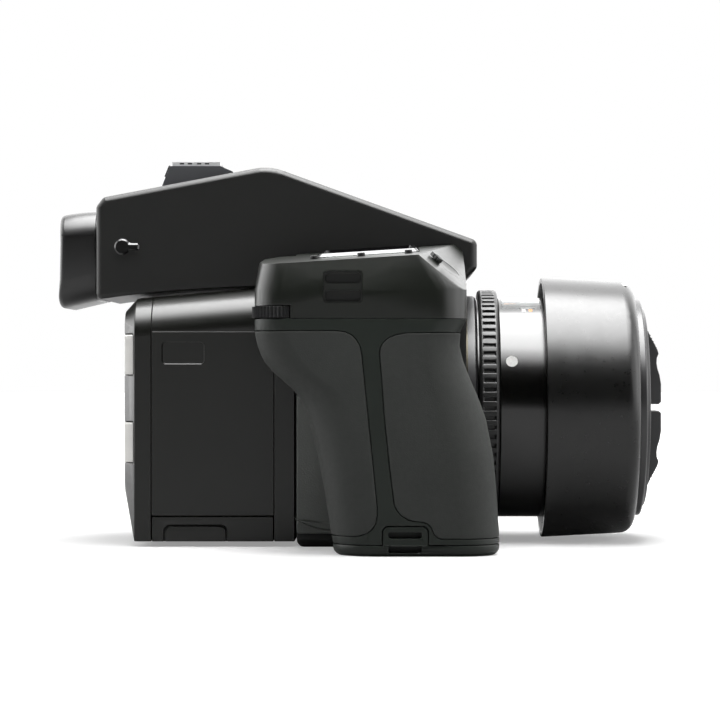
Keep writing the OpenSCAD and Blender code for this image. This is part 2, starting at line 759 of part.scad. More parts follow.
// Shell of one thickness over the grip, open toward the body
module grip_shell() {
    count = len(grip_turns);
    rows = len(grip_levels);
    inner = rows * count;
    points = [for (inset = [0, skin], z = grip_levels, turn = grip_turns)
        let (p = section(turn, z, inset)) [p.x, p.y, z]];
    quads = [
        for (j = [0 : rows - 2], i = [0 : count - 2]) let (a = j * count + i)
            each [[a, a + count, a + count + 1, a + 1],
                [inner + a, inner + a + 1, inner + a + count + 1, inner + a + count]],
        for (j = [0 : rows - 2]) let (a = j * count, b = a + count - 1)
            each [[a + count, a, inner + a, inner + a + count],
                [b, b + count, inner + b + count, inner + b]],
        for (i = [0 : count - 2]) let (t = (rows - 1) * count + i)
            each [[i, i + 1, inner + i + 1, inner + i], [t + 1, t, inner + t, inner + t + 1]]];
    polyhedron(points, [for (q = quads) each [[q[0], q[1], q[2]], [q[0], q[2], q[3]]]]);
}

module foot_arch(grow) {
    along_y(-grip_reach - 5, -grip_reach + 6 + grow) translate([(foot_lug_from + foot_lug_to) / 2, grip_low]) {
        translate([0, (foot_lug_high - grip_low) / 2 - 2])
            rounded(foot_lug_to - foot_lug_from + 2 * grow, foot_lug_high - grip_low + 4 + 2 * grow, 2);
    }
}

// Moulded core of the grip with the battery well
module grip_core() {
    color(dark_paint) difference() {
        grip_loft([for (z = concat([grip_low], [for (i = [1 : 22]) grip_levels[i]], [grip_top]))
            [z, z, skin + glue]]);
        span([pack_from.x - slide_fit, pack_from.y - slide_fit, grip_low - reach],
            [pack_to.x + slide_fit, pack_to.y + slide_fit, pack_high + slide_fit]);
        span([foot_lug_from - seam, -grip_reach - 5, grip_low - reach],
            [foot_lug_to + seam, -grip_reach + 6 + seam, foot_lug_high + seam]);
    }
}

// Hard outer frame: shoulder strip, slanting band and foot strip
module grip_frame() {
    color(dark_paint) difference() {
        grip_shell();
        along_y(-grip_reach - 20, 0) offset(delta = seam) polygon(rear_edge);
        along_y(-grip_reach - 20, 0) offset(delta = seam) polygon(front_edge);
        foot_arch(seam);
    }
}

// Rubber on the palm side
module grip_rubber_rear() {
    color(rubber_grey) intersection() {
        grip_shell();
        along_y(-grip_reach - 20, 0) polygon(rear_edge);
    }
}

// Rubber under the fingertips
module grip_rubber_front() {
    color(rubber_grey) intersection() {
        grip_shell();
        along_y(-grip_reach - 20, 0) polygon(front_edge);
    }
}

// Foot of the grip with the lower strap lug and the battery mouth
module grip_base() {
    color(dark_paint) difference() {
        union() {
            grip_loft([[foot_low, grip_low, 1.8], [0.5, grip_low, 0.9], [1.2, grip_low, 0.3],
                [2.2, grip_low, 0], [grip_low, grip_low, 0]]);
            intersection() {
                foot_arch(0);
                span([-20, -grip_reach + 0.1, grip_low - 0.4], [40, -grip_reach + 6, 20]);
            }
        }
        span([pack_from.x - lid_margin - slide_fit, pack_from.y - slide_fit, -reach],
            [pack_to.x + lid_margin + slide_fit, pack_to.y + lid_margin + slide_fit, grip_low + reach]);
        for (height = foot_slots) along_y(-grip_reach - 2 * reach, -grip_reach + 4.4)
            translate([(foot_lug_from + foot_lug_to) / 2 - 0.1, height]) rounded(foot_slot.x, foot_slot.y, 0.8);
        translate([0, 0, foot_slots[0]]) span([foot_lug_from + 1.8, -grip_reach + 2.2, 0],
            [foot_lug_to - 2, -grip_reach + 4.4, foot_slots[1] - foot_slots[0]]);
    }
}

// Battery pack of the grip with its lid
module grip_battery() {
    color(black_paint) difference() {
        union() {
            span([pack_from.x, pack_from.y, grip_low - 0.5], [pack_to.x, pack_to.y, pack_high]);
            span([pack_from.x - lid_margin, pack_from.y, lid_low],
                [pack_to.x + lid_margin, pack_to.y + lid_margin, grip_low]);
        }
        translate([lock_spot.x, lock_spot.y, lid_low - reach])
            cylinder(r = lock_radius, h = 1.9 + reach, $fn = fine_facets);
        translate([lock_spot.x, lock_spot.y, lid_low])
            cylinder(r = 2 + run_fit, h = 6, $fn = fine_facets);
    }
}

// Turn lock in the lid of the battery pack
module battery_lock() {
    color(satin_metal) translate([lock_spot.x, lock_spot.y, lid_low + 0.1]) difference() {
        union() {
            cylinder(r = lock_radius - slide_fit, h = 1.4, $fn = fine_facets);
            cylinder(r = 2, h = 5, $fn = fine_facets);
        }
        translate([-5.5, -0.7, -reach]) cube([11, 1.4, 0.8 + reach]);
    }
}

// Bayonet ring on the body
module lens_mount() {
    color(satin_metal) turned([[throat_radius, -mount_depth], [38, -mount_depth], [38, -0.7], [37.3, 0],
        [throat_radius, 0]]);
}

// Push button that frees the lens
module lens_release_button() {
    color(black_paint) translate([body_front - 2.4, release_y, axis_height]) rotate([0, 90, 0]) {
        cylinder(r = release_radius, h = 5.6, $fn = fine_facets);
        translate([0, 0, 5.6]) cylinder(r1 = release_radius, r2 = release_radius - 0.6, h = 0.6, $fn = fine_facets);
    }
}

// Ridged ring by the mount, cut with a row of short slots
module ridged_ring() {
    middle = (ridge_from + ridge_to) / 2;
    width = 2 * PI * ridge_radius / ridge_slots * 0.48;
    color(black_paint) difference() {
        turned([[neck_radius, ridge_from], [ridge_radius - 0.7, ridge_from], [ridge_radius, ridge_from + 0.7],
            [ridge_radius, ridge_to - 0.7], [ridge_radius - 0.7, ridge_to], [neck_radius, ridge_to]]);
        on_axis() for (i = [0 : ridge_slots - 1]) rotate([0, 0, i * 360 / ridge_slots])
            translate([ridge_radius - ridge_depth, -width / 2, middle - ridge_length / 2])
                cube([2 * ridge_depth, width, ridge_length]);
    }
}

// Fixed barrel of the lens
module lens_barrel() {
    color(black_paint) difference() {
        turned([[rear_bore, -mount_depth], [tail_radius, -mount_depth], [tail_radius, 0], [neck_radius, 0],
            [neck_radius, ridge_to], [barrel_radius - 0.4, ridge_to], [barrel_radius, ridge_to + 0.4],
            [barrel_radius, focus_from], [focus_seat, focus_from], [focus_seat, focus_to],
            [barrel_radius, focus_to], [barrel_radius, rim_end], [filter_radius, rim_end],
            [filter_radius, front_lip.y + 1.5], front_lip, front_lip - [2, 1.5],
            [bore_radius, front_lip.y - 1.5], [bore_radius, bore_from], [rear_bore, bore_from]]);
        scale_arc(-scale_depth, reach, 0);
    }
}

// Arc round the top of the barrel, from one radius to another
module scale_arc(inner, outer, gap) {
    on_axis() rotate([0, 0, 180 - scale_turn + gap])
        rotate_extrude(angle = 2 * (scale_turn - gap), $fn = ring_facets)
        translate([barrel_radius + inner, scale_from + gap])
            square([outer - inner, scale_to - scale_from - 2 * gap]);
}

// Clear curved window over the distance scale
module distance_window() {
    color(clear_glass) scale_arc(-scale_depth + glass_fit, -0.1, glass_fit);
}

// Rubber focusing ring under the hood
module focus_ring() {
    grip = barrel_radius + 2.2;
    inside = focus_seat + run_fit;
    from = focus_from + slide_fit;
    to = focus_to - slide_fit;
    color(rubber_grey) turned([[inside, from], [grip - 0.5, from], [grip, from + 0.5], [grip, to - 0.5],
        [grip - 0.5, to], [inside, to]]);
}

function dome(radius, sag, start, steps) = [for (i = [0 : steps])
    [radius * i / steps, start + sag * (1 - pow(i / steps, 2))]];
function lens_outline(radius, front, front_sag, rear, rear_sag) = let (
    front_side = dome(radius, front_sag, front, 8), rear_side = dome(radius, -rear_sag, rear, 8))
    concat(rear_side, [for (i = [8 : -1 : 0]) front_side[i]]);

// Cell that carries the front glass along the bore
module focus_cell() {
    outside = bore_radius - 0.4;
    color(black_paint) turned([[cell_bore, cell_from], [outside, cell_from], [outside, cell_to - 2.5],
        [cell_bore + 4, cell_to], [cell_bore, cell_to]]);
}

// Front glass
module front_lens() {
    color(clear_glass) turned(lens_outline(cell_bore - glass_fit, cell_to - 4.5, 3.4, cell_from + 3, 1));
}

// Rear glass
module rear_lens() {
    color(clear_glass) turned(lens_outline(rear_bore - glass_fit, 6, 2, -1, 1.5));
}

// Iris plate
module iris() {
    color(soft_black) turned([[iris_bore, iris_from], [bore_radius, iris_from],
        [bore_radius, iris_from + 3.5], [bore_radius - 3, iris_from + 3.5], [bore_radius - 3, iris_from + 0.8],
        [iris_bore, iris_from + 0.8]]);
}

// Bayonet hood carried reversed over the lens
module lens_hood() {
    bend = [for (i = [0 : 6]) [hood_front - hood_bend + hood_bend * cos(i * 15),
        hood_to - hood_bend + hood_bend * sin(i * 15)]];
    color(black_paint) turned(concat([[hood_radius - hood_wall, hood_from], [hood_radius - 0.3, hood_from],
        [hood_radius, hood_from + 0.3]], bend, [[hood_seat, hood_to], [hood_seat, hood_to - 6.2],
        [hood_seat + 2, hood_to - 6.8], [hood_front - hood_wall, hood_to - 8.6]]));
}

// Snap cap with a recess for the two finger tabs
module lens_cap() {
    color(black_paint) difference() {
        turned([[0, cap_back], [filter_radius - 3, cap_back], [filter_radius - 3, cap_plug],
            [filter_radius - 0.4, cap_plug], [filter_radius - 0.4, cap_seat], [cap_radius, cap_seat],
            [cap_radius, cap_shoulder - 0.4], [cap_radius - 0.4, cap_shoulder], [cap_radius - 2.6, cap_shoulder],
            [cap_radius - 3.2, cap_face], [0, cap_face]]);
        translate([mount_face + tab_floor, -tab_half - slide_fit, axis_height - tab_end - 1.5])
            cube([5, 2 * (tab_half + slide_fit), 2 * (tab_end + 1.5)]);
    }
}

module cap_tab(side) {
    color(black_paint) translate([mount_face, 0, axis_height]) scale([1, 1, side])
        along_y(-tab_half, tab_half) polygon([[tab_floor + slide_fit, tab_gap], [tab_top - 0.8, tab_gap],
            [tab_top, tab_gap + 0.8], [tab_top, 8], [tab_top - 0.5, 11], [tab_top - 1.2, 13.2],
            [tab_top - 1.5, 15], [tab_top - 1.4, 16.8], [tab_top - 0.8, 18.2], [tab_top - 1.2, 19.6], [tab_top - 2.2, 21.6],
            [tab_top - 3.6, 24], [tab_top - 4.4, tab_end], [tab_floor + slide_fit, tab_end]]);
}

module cap_tab_upper() {
    cap_tab(1);
}

module cap_tab_lower() {
    cap_tab(-1);
}

// Reflex mirror on its cross pin
module reflex_mirror() {
    color(satin_metal) translate([hinge_x, 0, axis_height + hinge_rise]) {
        rotate([0, 45, 0]) span([0, -mirror_wide, -mirror_thick], [mirror_reach, mirror_wide, mirror_thick]);
        translate([0, mirror_half + pin_seat - slide_fit, 0]) rotate([90, 0, 0])
            cylinder(r = pin_radius, h = 2 * (mirror_half + pin_seat - slide_fit), $fn = fine_facets);
    }
}

// Focal plane shutter carrier
module shutter_frame() {
    color(soft_black) difference() {
        span([back_plane + 0.2, -shutter_half, axis_height - shutter_drop],
            [shutter_front, shutter_half, axis_height + shutter_rise]);
        span([back_plane - reach, -gate_half, axis_height - gate_rise],
            [shutter_front + reach, gate_half, axis_height + gate_rise]);
        curtain_sheet();
    }
}

// Closed shutter curtain
module shutter_curtain() {
    color(satin_metal) curtain_sheet();
}

module curtain_sheet() {
    span([curtain_rear, -gate_half - curtain_margin.x, axis_height - gate_rise - curtain_margin.y],
        [curtain_front, gate_half + curtain_margin.x, axis_height + gate_rise + curtain_margin.y]);
}

// Outline of the digital back: rounded shoulders that fall to the rear
module back_form(from, to, inset) {
    half = back_half - inset;
    round = back_round - inset;
    intersection() {
        span([from, -half, back_bottom + inset], [to, half, 120]);
        translate([back_plane, 0, back_top - inset]) rotate([0, -back_fall, 0]) along_x(-80, 20) {
            translate([-half, -120]) square([2 * half, 120 - round]);
            translate([-half + round, -120]) square([2 * (half - round), 120]);
            for (side = [-1, 1]) translate([side * (half - round), -round]) circle(round, $fn = fine_facets);
        }
    }
}

// Adapter that seats the back on the body
module back_adapter() {
    color(dark_paint) difference() {
        back_form(adapter_rear, back_plane, 0);
        span([adapter_rear - reach, -sensor_half - 3, axis_height - sensor_rise - 3],
            [back_plane + reach, sensor_half + 3, axis_height + sensor_rise + 3]);
    }
}

// Sleeve of the digital back with the battery bay
module back_shell() {
    color(dark_paint) difference() {
        back_form(shell_rear, adapter_rear, 0);
        span([shell_rear - reach, -back_half - reach, panel_low],
            [adapter_rear + reach, -back_half + panel_thick, panel_high]);
        span([shell_rear - reach, -back_half - reach, back_bottom - reach],
            [adapter_rear + reach, bay_inner + 1.5, panel_low]);
        span([bay_from, -back_half + panel_thick + 1, back_bottom - reach], [bay_to, bay_inner, bay_high]);
        span([shell_rear - reach, bay_inner + 2.5, back_bottom + wall + 2],
            [adapter_rear + reach, back_half - wall, panel_high + 2]);
        span([adapter_rear - 3.2, -board_half, axis_height - board_rise],
            [adapter_rear + reach, board_half, axis_height + board_rise]);
    }
}

// Side panel of the back with a shallow bare recess
module side_panel() {
    color(dark_paint) difference() {
        span([shell_rear + 0.1, -back_half, panel_low + 0.1], [adapter_rear - 0.1, -back_half + panel_thick,
            panel_high - 0.1]);
        along_y(-back_half - reach, -back_half + 0.4) translate(badge_spot)
            rounded(badge_size.x, badge_size.y, 1.2);
    }
}

// Rear cover, bevelled toward the screen
module rear_cover() {
    color(dark_paint) difference() {
        hull() {
            back_form(rim_rear, shell_rear, 0);
            translate([0, 0, (face_low + face_high) / 2]) along_x(screen_face, screen_face + 0.5)
                rounded(2 * (back_half - face_inset), face_high - face_low, 5);
        }
        translate([0, 0, screen_middle]) along_x(screen_face - reach, screen_face + 1.2)
            rounded(2 * screen_half_width, screen_high, 2);
        for (side = [-1, 1], z = [key_upper, key_lower]) key_pocket(side, z);
    }
}

module on_key(side, z) {
    translate([screen_face + 1.2, side * (back_half - 4.8), z]) children();
}

module key_pocket(side, z) {
    on_key(side, z) span([-4, -key_half - slide_fit, -key_rise - slide_fit],
        [4.2, key_half + slide_fit, key_rise + slide_fit]);
}

// Keys on the bevels beside the screen
module back_key(side, z) {
    depth = 4.2 - press_travel - 0.2;
    color(silver_key) on_key(side, z) along_x(-0.7, depth) rounded(2 * key_half, 2 * key_rise, 0.8);
}

module back_button_near_upper() {
    back_key(-1, key_upper);
}

module back_button_near_lower() {
    back_key(-1, key_lower);
}

module back_button_far_upper() {
    back_key(1, key_upper);
}

module back_button_far_lower() {
    back_key(1, key_lower);
}

// Glass of the rear touch screen
module rear_screen() {
    color(soft_black) translate([0, 0, screen_middle]) along_x(screen_face, screen_face + 1.2)
        rounded(2 * screen_half_width, screen_high, 2);
}

// Battery of the digital back: pack and end cap drawn from below, with a spring catch cut in the cap
module back_battery() {
    color(dark_paint) difference() {
        union() {
            span([bay_from + slide_fit, -back_half + panel_thick + 1 + slide_fit, panel_low - 0.5],
                [bay_to - slide_fit, bay_inner - slide_fit, bay_high - slide_fit]);
            span([shell_rear + slide_fit, -back_half, back_bottom],
                [adapter_rear - slide_fit, bay_inner + 1.5 - slide_fit, panel_low - 0.2]);
        }
        along_y(-back_half - reach, -back_half + 1.2) catch_seam();
    }
}

module catch_seam() {
    translate(catch_spot) difference() {
        rounded(catch_size.x, catch_size.y, 2.2);
        rounded(catch_size.x - 2 * catch_line, catch_size.y - 2 * catch_line, 2.2 - catch_line);
    }
}

// Image sensor on its board
module image_sensor() {
    color(satin_metal) {
        span([adapter_rear - 3, -board_half + 0.2, axis_height - board_rise + 0.2],
            [adapter_rear, board_half - 0.2, axis_height + board_rise - 0.2]);
        span([adapter_rear - 1, -sensor_half, axis_height - sensor_rise],
            [focal_plane, sensor_half, axis_height + sensor_rise]);
    }
}

body_frame();
base_plate();
tripod_plate();
right_side_cover();
left_cover();
left_shoulder();
mode_dial();
sync_terminal();
prism_housing();
pentaprism();
focusing_screen();
eyepiece_lens();
eyecup();
blind_lever();
blind_flap();
shoe_block();
accessory_shoe();
top_cover();
status_window();
top_button_rear();
top_button_middle();
top_button_front();
shutter_button();
drive_lever();
rear_dial();
grip_core();
grip_frame();
grip_rubber_rear();
grip_rubber_front();
grip_base();
grip_battery();
battery_lock();
lens_mount();
lens_release_button();
ridged_ring();
lens_barrel();
distance_window();
focus_ring();
focus_cell();
front_lens();
rear_lens();
iris();
lens_hood();
lens_cap();
cap_tab_upper();
cap_tab_lower();
reflex_mirror();
shutter_frame();
shutter_curtain();
back_adapter();
back_shell();
side_panel();
rear_cover();
rear_screen();
back_button_near_upper();
back_button_near_lower();
back_button_far_upper();
back_button_far_lower();
back_battery();
image_sensor();
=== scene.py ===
# Medium format reflex camera seen from its grip side: body, finder, hand grip, digital back and capped lens.
import json
import math
import bmesh
import bpy
from mathutils import Matrix, Vector


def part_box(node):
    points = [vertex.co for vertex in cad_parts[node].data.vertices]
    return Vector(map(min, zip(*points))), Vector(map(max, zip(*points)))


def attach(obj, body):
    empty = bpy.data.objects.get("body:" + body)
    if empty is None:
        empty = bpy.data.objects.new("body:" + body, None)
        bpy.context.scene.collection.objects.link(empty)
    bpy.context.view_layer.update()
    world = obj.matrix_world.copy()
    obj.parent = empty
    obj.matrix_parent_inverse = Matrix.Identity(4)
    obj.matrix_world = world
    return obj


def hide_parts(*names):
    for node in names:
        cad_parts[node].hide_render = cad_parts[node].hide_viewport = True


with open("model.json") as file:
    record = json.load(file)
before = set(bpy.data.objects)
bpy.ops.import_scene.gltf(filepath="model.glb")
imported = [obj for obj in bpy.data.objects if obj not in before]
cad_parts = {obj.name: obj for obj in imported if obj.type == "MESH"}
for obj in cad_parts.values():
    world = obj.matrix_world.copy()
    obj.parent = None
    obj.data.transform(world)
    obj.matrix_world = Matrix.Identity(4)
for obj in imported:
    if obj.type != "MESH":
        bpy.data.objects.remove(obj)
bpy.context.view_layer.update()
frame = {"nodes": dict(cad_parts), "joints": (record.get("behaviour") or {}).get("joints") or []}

# Body casting: the light alloy mirror box that carries every other piece.
# It is die cast in one, blacked inside, and painted matt black where its front shows round the lens.
MM = 0.001
CREASE = math.radians(34)


def begun(name):
    """New finish, with its node tree, its shader and the coordinates of the piece it is put on."""
    finish = bpy.data.materials.new(name)
    finish.use_nodes = True
    tree = finish.node_tree
    spot = tree.nodes.new("ShaderNodeTexCoord").outputs["Object"]
    return finish, tree, tree.nodes["Principled BSDF"], spot


def cloud(tree, spot, size, detail):
    """Soft random pattern with blots of about the given size."""
    noise = tree.nodes.new("ShaderNodeTexNoise")
    noise.inputs["Scale"].default_value = 1 / size
    noise.inputs["Detail"].default_value = detail
    tree.links.new(spot, noise.inputs["Vector"])
    return noise.outputs["Fac"]


def between(tree, value, low, high, to_low, to_high, eased=False):
    """Value stretched from one range to another and held at its ends."""
    spread = tree.nodes.new("ShaderNodeMapRange")
    if eased:
        spread.interpolation_type = "SMOOTHSTEP"
    limits = {"From Min": low, "From Max": high, "To Min": to_low, "To Max": to_high}
    for socket, limit in limits.items():
        spread.inputs[socket].default_value = limit
    tree.links.new(value, spread.inputs["Value"])
    return spread.outputs["Result"]


def two_tones(tree, value, colour, places, shares):
    """Colour that wanders between a darker and a lighter share of itself."""
    tones = tree.nodes.new("ShaderNodeValToRGB")
    for stop, place, share in zip(tones.color_ramp.elements, places, shares):
        stop.position = place
        stop.color = [*(min(1, share * c) for c in colour), 1]
    tree.links.new(value, tones.inputs["Fac"])
    return tones.outputs["Color"]


def combined(tree, operation, *values):
    """One sum on two or three values."""
    node = tree.nodes.new("ShaderNodeMath")
    node.operation = operation
    for value, socket in zip(values, node.inputs):
        tree.links.new(value, socket)
    return node.outputs[0]


def grained(name, colour, rough, grain, depth, gloss=0.35, edge_wear_and_highlight=0.3, pebbled=False):
    """Moulded or painted surface: cloudy colour, sand grain, edges a little smoother from use, and edges
    painted paler as a painted highlight.
    """
    finish, tree, shader, spot = begun(name)
    shader.inputs["Specular IOR Level"].default_value = gloss
    tones = two_tones(tree, cloud(tree, spot, 14 * MM, 5), colour, (0.3, 0.7), (0.92, 1.08))

    corner = tree.nodes.new("ShaderNodeBevel")
    corner.samples = 4
    corner.inputs["Radius"].default_value = 0.5 * MM
    surface = tree.nodes.new("ShaderNodeNewGeometry")
    turn = tree.nodes.new("ShaderNodeVectorMath")
    turn.operation = "DOT_PRODUCT"
    tree.links.new(corner.outputs["Normal"], turn.inputs[0])
    tree.links.new(surface.outputs["Normal"], turn.inputs[1])
    # Painted highlight: edges are painted paler to stand in for light glinting on them. One argument sets
    # this and the smoother edges.
    edge_highlight_mask = between(tree, turn.outputs["Value"], 0.99, 0.8, 0, edge_wear_and_highlight)
    painted_edge_highlight = tree.nodes.new("ShaderNodeMix")
    painted_edge_highlight.data_type = "RGBA"
    tree.links.new(edge_highlight_mask, painted_edge_highlight.inputs[0])
    tree.links.new(tones, painted_edge_highlight.inputs[6])
    painted_edge_highlight.inputs[7].default_value = [*(min(1, 2.2 * c + 0.02) for c in colour), 1]
    tree.links.new(painted_edge_highlight.outputs[2], shader.inputs["Base Color"])

    matt = between(tree, cloud(tree, spot, 1.6 * MM, 2), 0.3, 0.7, 0.94 * rough, 1.06 * rough)
    polish = between(tree, turn.outputs["Value"], 0.99, 0.8, 0, 0.5 * edge_wear_and_highlight)
    tree.links.new(combined(tree, "SUBTRACT", matt, polish), shader.inputs["Roughness"])

    relief = tree.nodes.new("ShaderNodeBump")
    relief.inputs["Strength"].default_value = 0.6
    relief.inputs["Distance"].default_value = depth
    if pebbled:
        cells = tree.nodes.new("ShaderNodeTexVoronoi")
        cells.feature = "SMOOTH_F1"
        cells.inputs["Scale"].default_value = 1 / grain
        cells.inputs["Smoothness"].default_value = 0.4
        tree.links.new(spot, cells.inputs["Vector"])
        tree.links.new(between(tree, cells.outputs["Distance"], 0, 0.7, 1, 0), relief.inputs["Height"])
    else:
        tree.links.new(cloud(tree, spot, grain, 2), relief.inputs["Height"])
    tree.links.new(relief.outputs["Normal"], shader.inputs["Normal"])
    return finish


def smooth_shading():
    """Modifier group that shades curved faces smooth and keeps an edge where the faces meet at an angle."""
    group = bpy.data.node_groups.new("smooth_shading", "GeometryNodeTree")
    for way in ("INPUT", "OUTPUT"):
        group.interface.new_socket("Geometry", in_out=way, socket_type="NodeSocketGeometry")
    start = group.nodes.new("NodeGroupInput")
    bare = group.nodes.new("GeometryNodeRemoveAttribute")
    bare.inputs["Name"].default_value = "custom_normal"
    faces = group.nodes.new("GeometryNodeSetShadeSmooth")
    edges = group.nodes.new("GeometryNodeSetShadeSmooth")
    edges.domain = "EDGE"
    angle = group.nodes.new("GeometryNodeInputMeshEdgeAngle")
    small = group.nodes.new("FunctionNodeCompare")
    small.operation = "LESS_THAN"
    small.inputs[1].default_value = CREASE
    end = group.nodes.new("NodeGroupOutput")
    group.links.new(start.outputs[0], bare.inputs["Geometry"])
    group.links.new(bare.outputs[0], faces.inputs["Geometry"])
    group.links.new(faces.outputs[0], edges.inputs["Geometry"])
    group.links.new(angle.outputs["Unsigned Angle"], small.inputs[0])
    group.links.new(small.outputs[0], edges.inputs["Shade Smooth"])
    group.links.new(edges.outputs[0], end.inputs[0])
    return group


shading = smooth_shading()


def dress(node, finish, edge=0.25 * MM, steps=2, flat=False):
    """Puts a finish on a CAD piece and breaks its sharp edges. Flat panels are planed first."""
    part = frame["nodes"][node]
    part.data.materials.clear()
    part.data.materials.append(finish)
    joined = part.modifiers.new("joined", "WELD")
    joined.merge_threshold = 0.002 * MM
    if flat:
        planed = part.modifiers.new("planed", "DECIMATE")
        planed.decimate_type = "DISSOLVE"
        planed.angle_limit = math.radians(0.6)
    if edge:
        broken = part.modifiers.new("broken_edge", "BEVEL")
        broken.width = edge
        broken.segments = steps
        broken.limit_method = "ANGLE"
        broken.angle_limit = CREASE
        broken.use_clamp_overlap = False
    smooth = part.modifiers.new("smooth", "NODES")
    smooth.node_group = shading
    level = part.modifiers.new("level", "WEIGHTED_NORMAL")
    level.keep_sharp = True


casting = grained("casting_paint", (0.014, 0.0145, 0.014), 0.5, 0.25 * MM, 0.02 * MM)
dress("body_frame", casting)

# Base cover: a moulded black tray that closes the body from below.
# It is held by screws through the tripod plate and its lower edges are chamfered.
base_moulding = grained("base_moulding", (0.016, 0.017, 0.016), 0.5, 0.3 * MM, 0.02 * MM)
dress("base_plate", base_moulding)

# Tripod plate: satin steel with a large and a small thread, let into the base.
# The threads are cut, so each is one helical ridge that runs up the wall of its hole.


def brushed(name, colour, rough, along=(1, 1, 40)):
    """Satin metal with fine drawn lines."""
    finish, tree, shader, spot = begun(name)
    shader.inputs["Metallic"].default_value = 1
    stretch = tree.nodes.new("ShaderNodeMapping")
    stretch.inputs["Scale"].default_value = along
    tree.links.new(spot, stretch.inputs["Vector"])
    lines = cloud(tree, stretch.outputs["Vector"], 5 * MM, 4)
    relief = tree.nodes.new("ShaderNodeBump")
    relief.inputs["Strength"].default_value = 0.3
    relief.inputs["Distance"].default_value = 0.01 * MM
    tree.links.new(lines, relief.inputs["Height"])
    tree.links.new(two_tones(tree, lines, colour, (0.3, 0.7), (0.85, 1.1)), shader.inputs["Base Color"])
    tree.links.new(between(tree, lines, 0, 1, rough - 0.08, rough + 0.08), shader.inputs["Roughness"])
    tree.links.new(relief.outputs["Normal"], shader.inputs["Normal"])
    return finish


def made(name, mesh, finish, body="camera"):
    """Object from a mesh built here, smooth where its faces are nearly level, riding on a body."""
    bmesh.ops.recalc_face_normals(mesh, faces=mesh.faces)
    data = bpy.data.meshes.new(name)
    mesh.to_mesh(data)
    mesh.free()
    data.materials.append(finish)
    data.shade_smooth()
    data.set_sharp_from_angle(angle=CREASE)
    part = bpy.data.objects.new(name, data)
    bpy.context.scene.collection.objects.link(part)
    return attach(part, body)


def bridged(mesh, rows, closed):
    """Faces between neighbouring loops of points. An open run of loops is capped at both ends."""
    following = rows[1:] + rows[:1] if closed else rows[1:]
    for one, two in zip(rows, following):
        for k in range(len(one)):
            after = (k + 1) % len(one)
            mesh.faces.new((one[k], one[after], two[after], two[k]))
    if not closed:
        mesh.faces.new(rows[0])
        mesh.faces.new(rows[-1])


def thread(name, centre, radius, pitch, length, finish):
    """Helical ridge on the wall of a threaded hole that opens downward."""
    steps = 32
    lowest = 0.02 * MM
    mesh = bmesh.new()
    rows = []
    for i in range(int(steps * (length / pitch - 1)) + 1):
        a = 2 * math.pi * i / steps
        low = pitch * (0.3 + i / steps)
        ridge = [(radius, low - 0.42 * pitch), (radius - 0.55 * pitch, low), (radius, low + 0.42 * pitch)]
        row = []
        for r, z in ridge:
            x, y = centre[0] + r * math.cos(a), centre[1] + r * math.sin(a)
            row.append(mesh.verts.new((x, y, max(z, lowest))))
        rows.append(row)
    bridged(mesh, rows, False)
    made(name, mesh, finish)


tripod_steel = brushed("tripod_steel", (0.50, 0.50, 0.49), 0.38)
dress("tripod_plate", tripod_steel, edge=0)
thread_length = 8 * MM
thread("large_tripod_thread", (0, 0), 4.74 * MM, 1.5875 * MM, thread_length, tripod_steel)
thread("small_tripod_thread", (-18 * MM, 0), 3.155 * MM, 1.27 * MM, thread_length, tripod_steel)

# Side walls: pebbled covering bonded over the flat walls of the casting, on the grip side and the far side.
# The grip side covering is painted lighter than its true dark grey, as painted light; the far cover is a
# darker padded moulding with rounded uprights for the left hand.
wall_covering_painted_light = grained("wall_covering_painted_light", (0.12, 0.126, 0.119), 0.66, 0.55 * MM, 0.05 * MM, pebbled=True)
dress("right_side_cover", wall_covering_painted_light)
hand_pad = grained("hand_pad", (0.022, 0.024, 0.022), 0.66, 0.55 * MM, 0.05 * MM, pebbled=True)
dress("left_cover", hand_pad, edge=0.5 * MM, steps=3)

# Far shoulder with the mode dial: a painted moulding that carries a knurled dial on a spindle.
# The dial has plain white marks round its top and an index dot stands beside it.
shoulder_moulding = grained("shoulder_moulding", (0.010, 0.0115, 0.0098), 0.36, 0.25 * MM, 0.012 * MM,
                            gloss=0.5)
dress("left_shoulder", shoulder_moulding, edge=0.6 * MM, steps=3)
dial_black = grained("dial_black", (0.008, 0.008, 0.0084), 0.5, 0.2 * MM, 0.012 * MM, gloss=0.2, edge_wear_and_highlight=0.2)
dress("mode_dial", dial_black, edge=0.08 * MM)


def printed(name, colour):
    """Filled mark: matt paint, slightly uneven."""
    finish, tree, shader, spot = begun(name)
    shader.inputs["Roughness"].default_value = 0.45
    tones = two_tones(tree, cloud(tree, spot, 0.6 * MM, 3), colour, (0.25, 0.6), (0.8, 1))
    tree.links.new(tones, shader.inputs["Base Color"])
    return finish


white_mark = printed("white_mark", (0.80, 0.80, 0.78))


def slabs(name, outlines, depth, finish, body="camera", soft=0.0):
    """Flat pieces, each an outline in a plane given by a matrix, thickened along that plane's normal."""
    mesh = bmesh.new()
    for place, outline in outlines:
        low = [mesh.verts.new(place @ Vector((x, y, 0))) for x, y in outline]
        high = [mesh.verts.new(place @ Vector((x, y, depth))) for x, y in outline]
        bridged(mesh, [low, high], False)
    if soft:
        bmesh.ops.bevel(mesh, geom=list(mesh.edges), offset=soft, segments=2, profile=0.5, affect="EDGES")
    made(name, mesh, finish, body)


def ring_of_points(radius, count=32):
    """Outline of a disc."""
    return [(radius * math.cos(2 * math.pi * k / count), radius * math.sin(2 * math.pi * k / count))
            for k in range(count)]


def pill(width, height, radius, count=8):
    """Outline of a rectangle with rounded corners."""
    corners = [(1, 1, 0), (-1, 1, 90), (-1, -1, 180), (1, -1, 270)]
    return [(sx * (width / 2 - radius) + radius * math.cos(math.radians(start + 90 * k / count)),
             sy * (height / 2 - radius) + radius * math.sin(math.radians(start + 90 * k / count)))
            for sx, sy, start in corners for k in range(count + 1)]


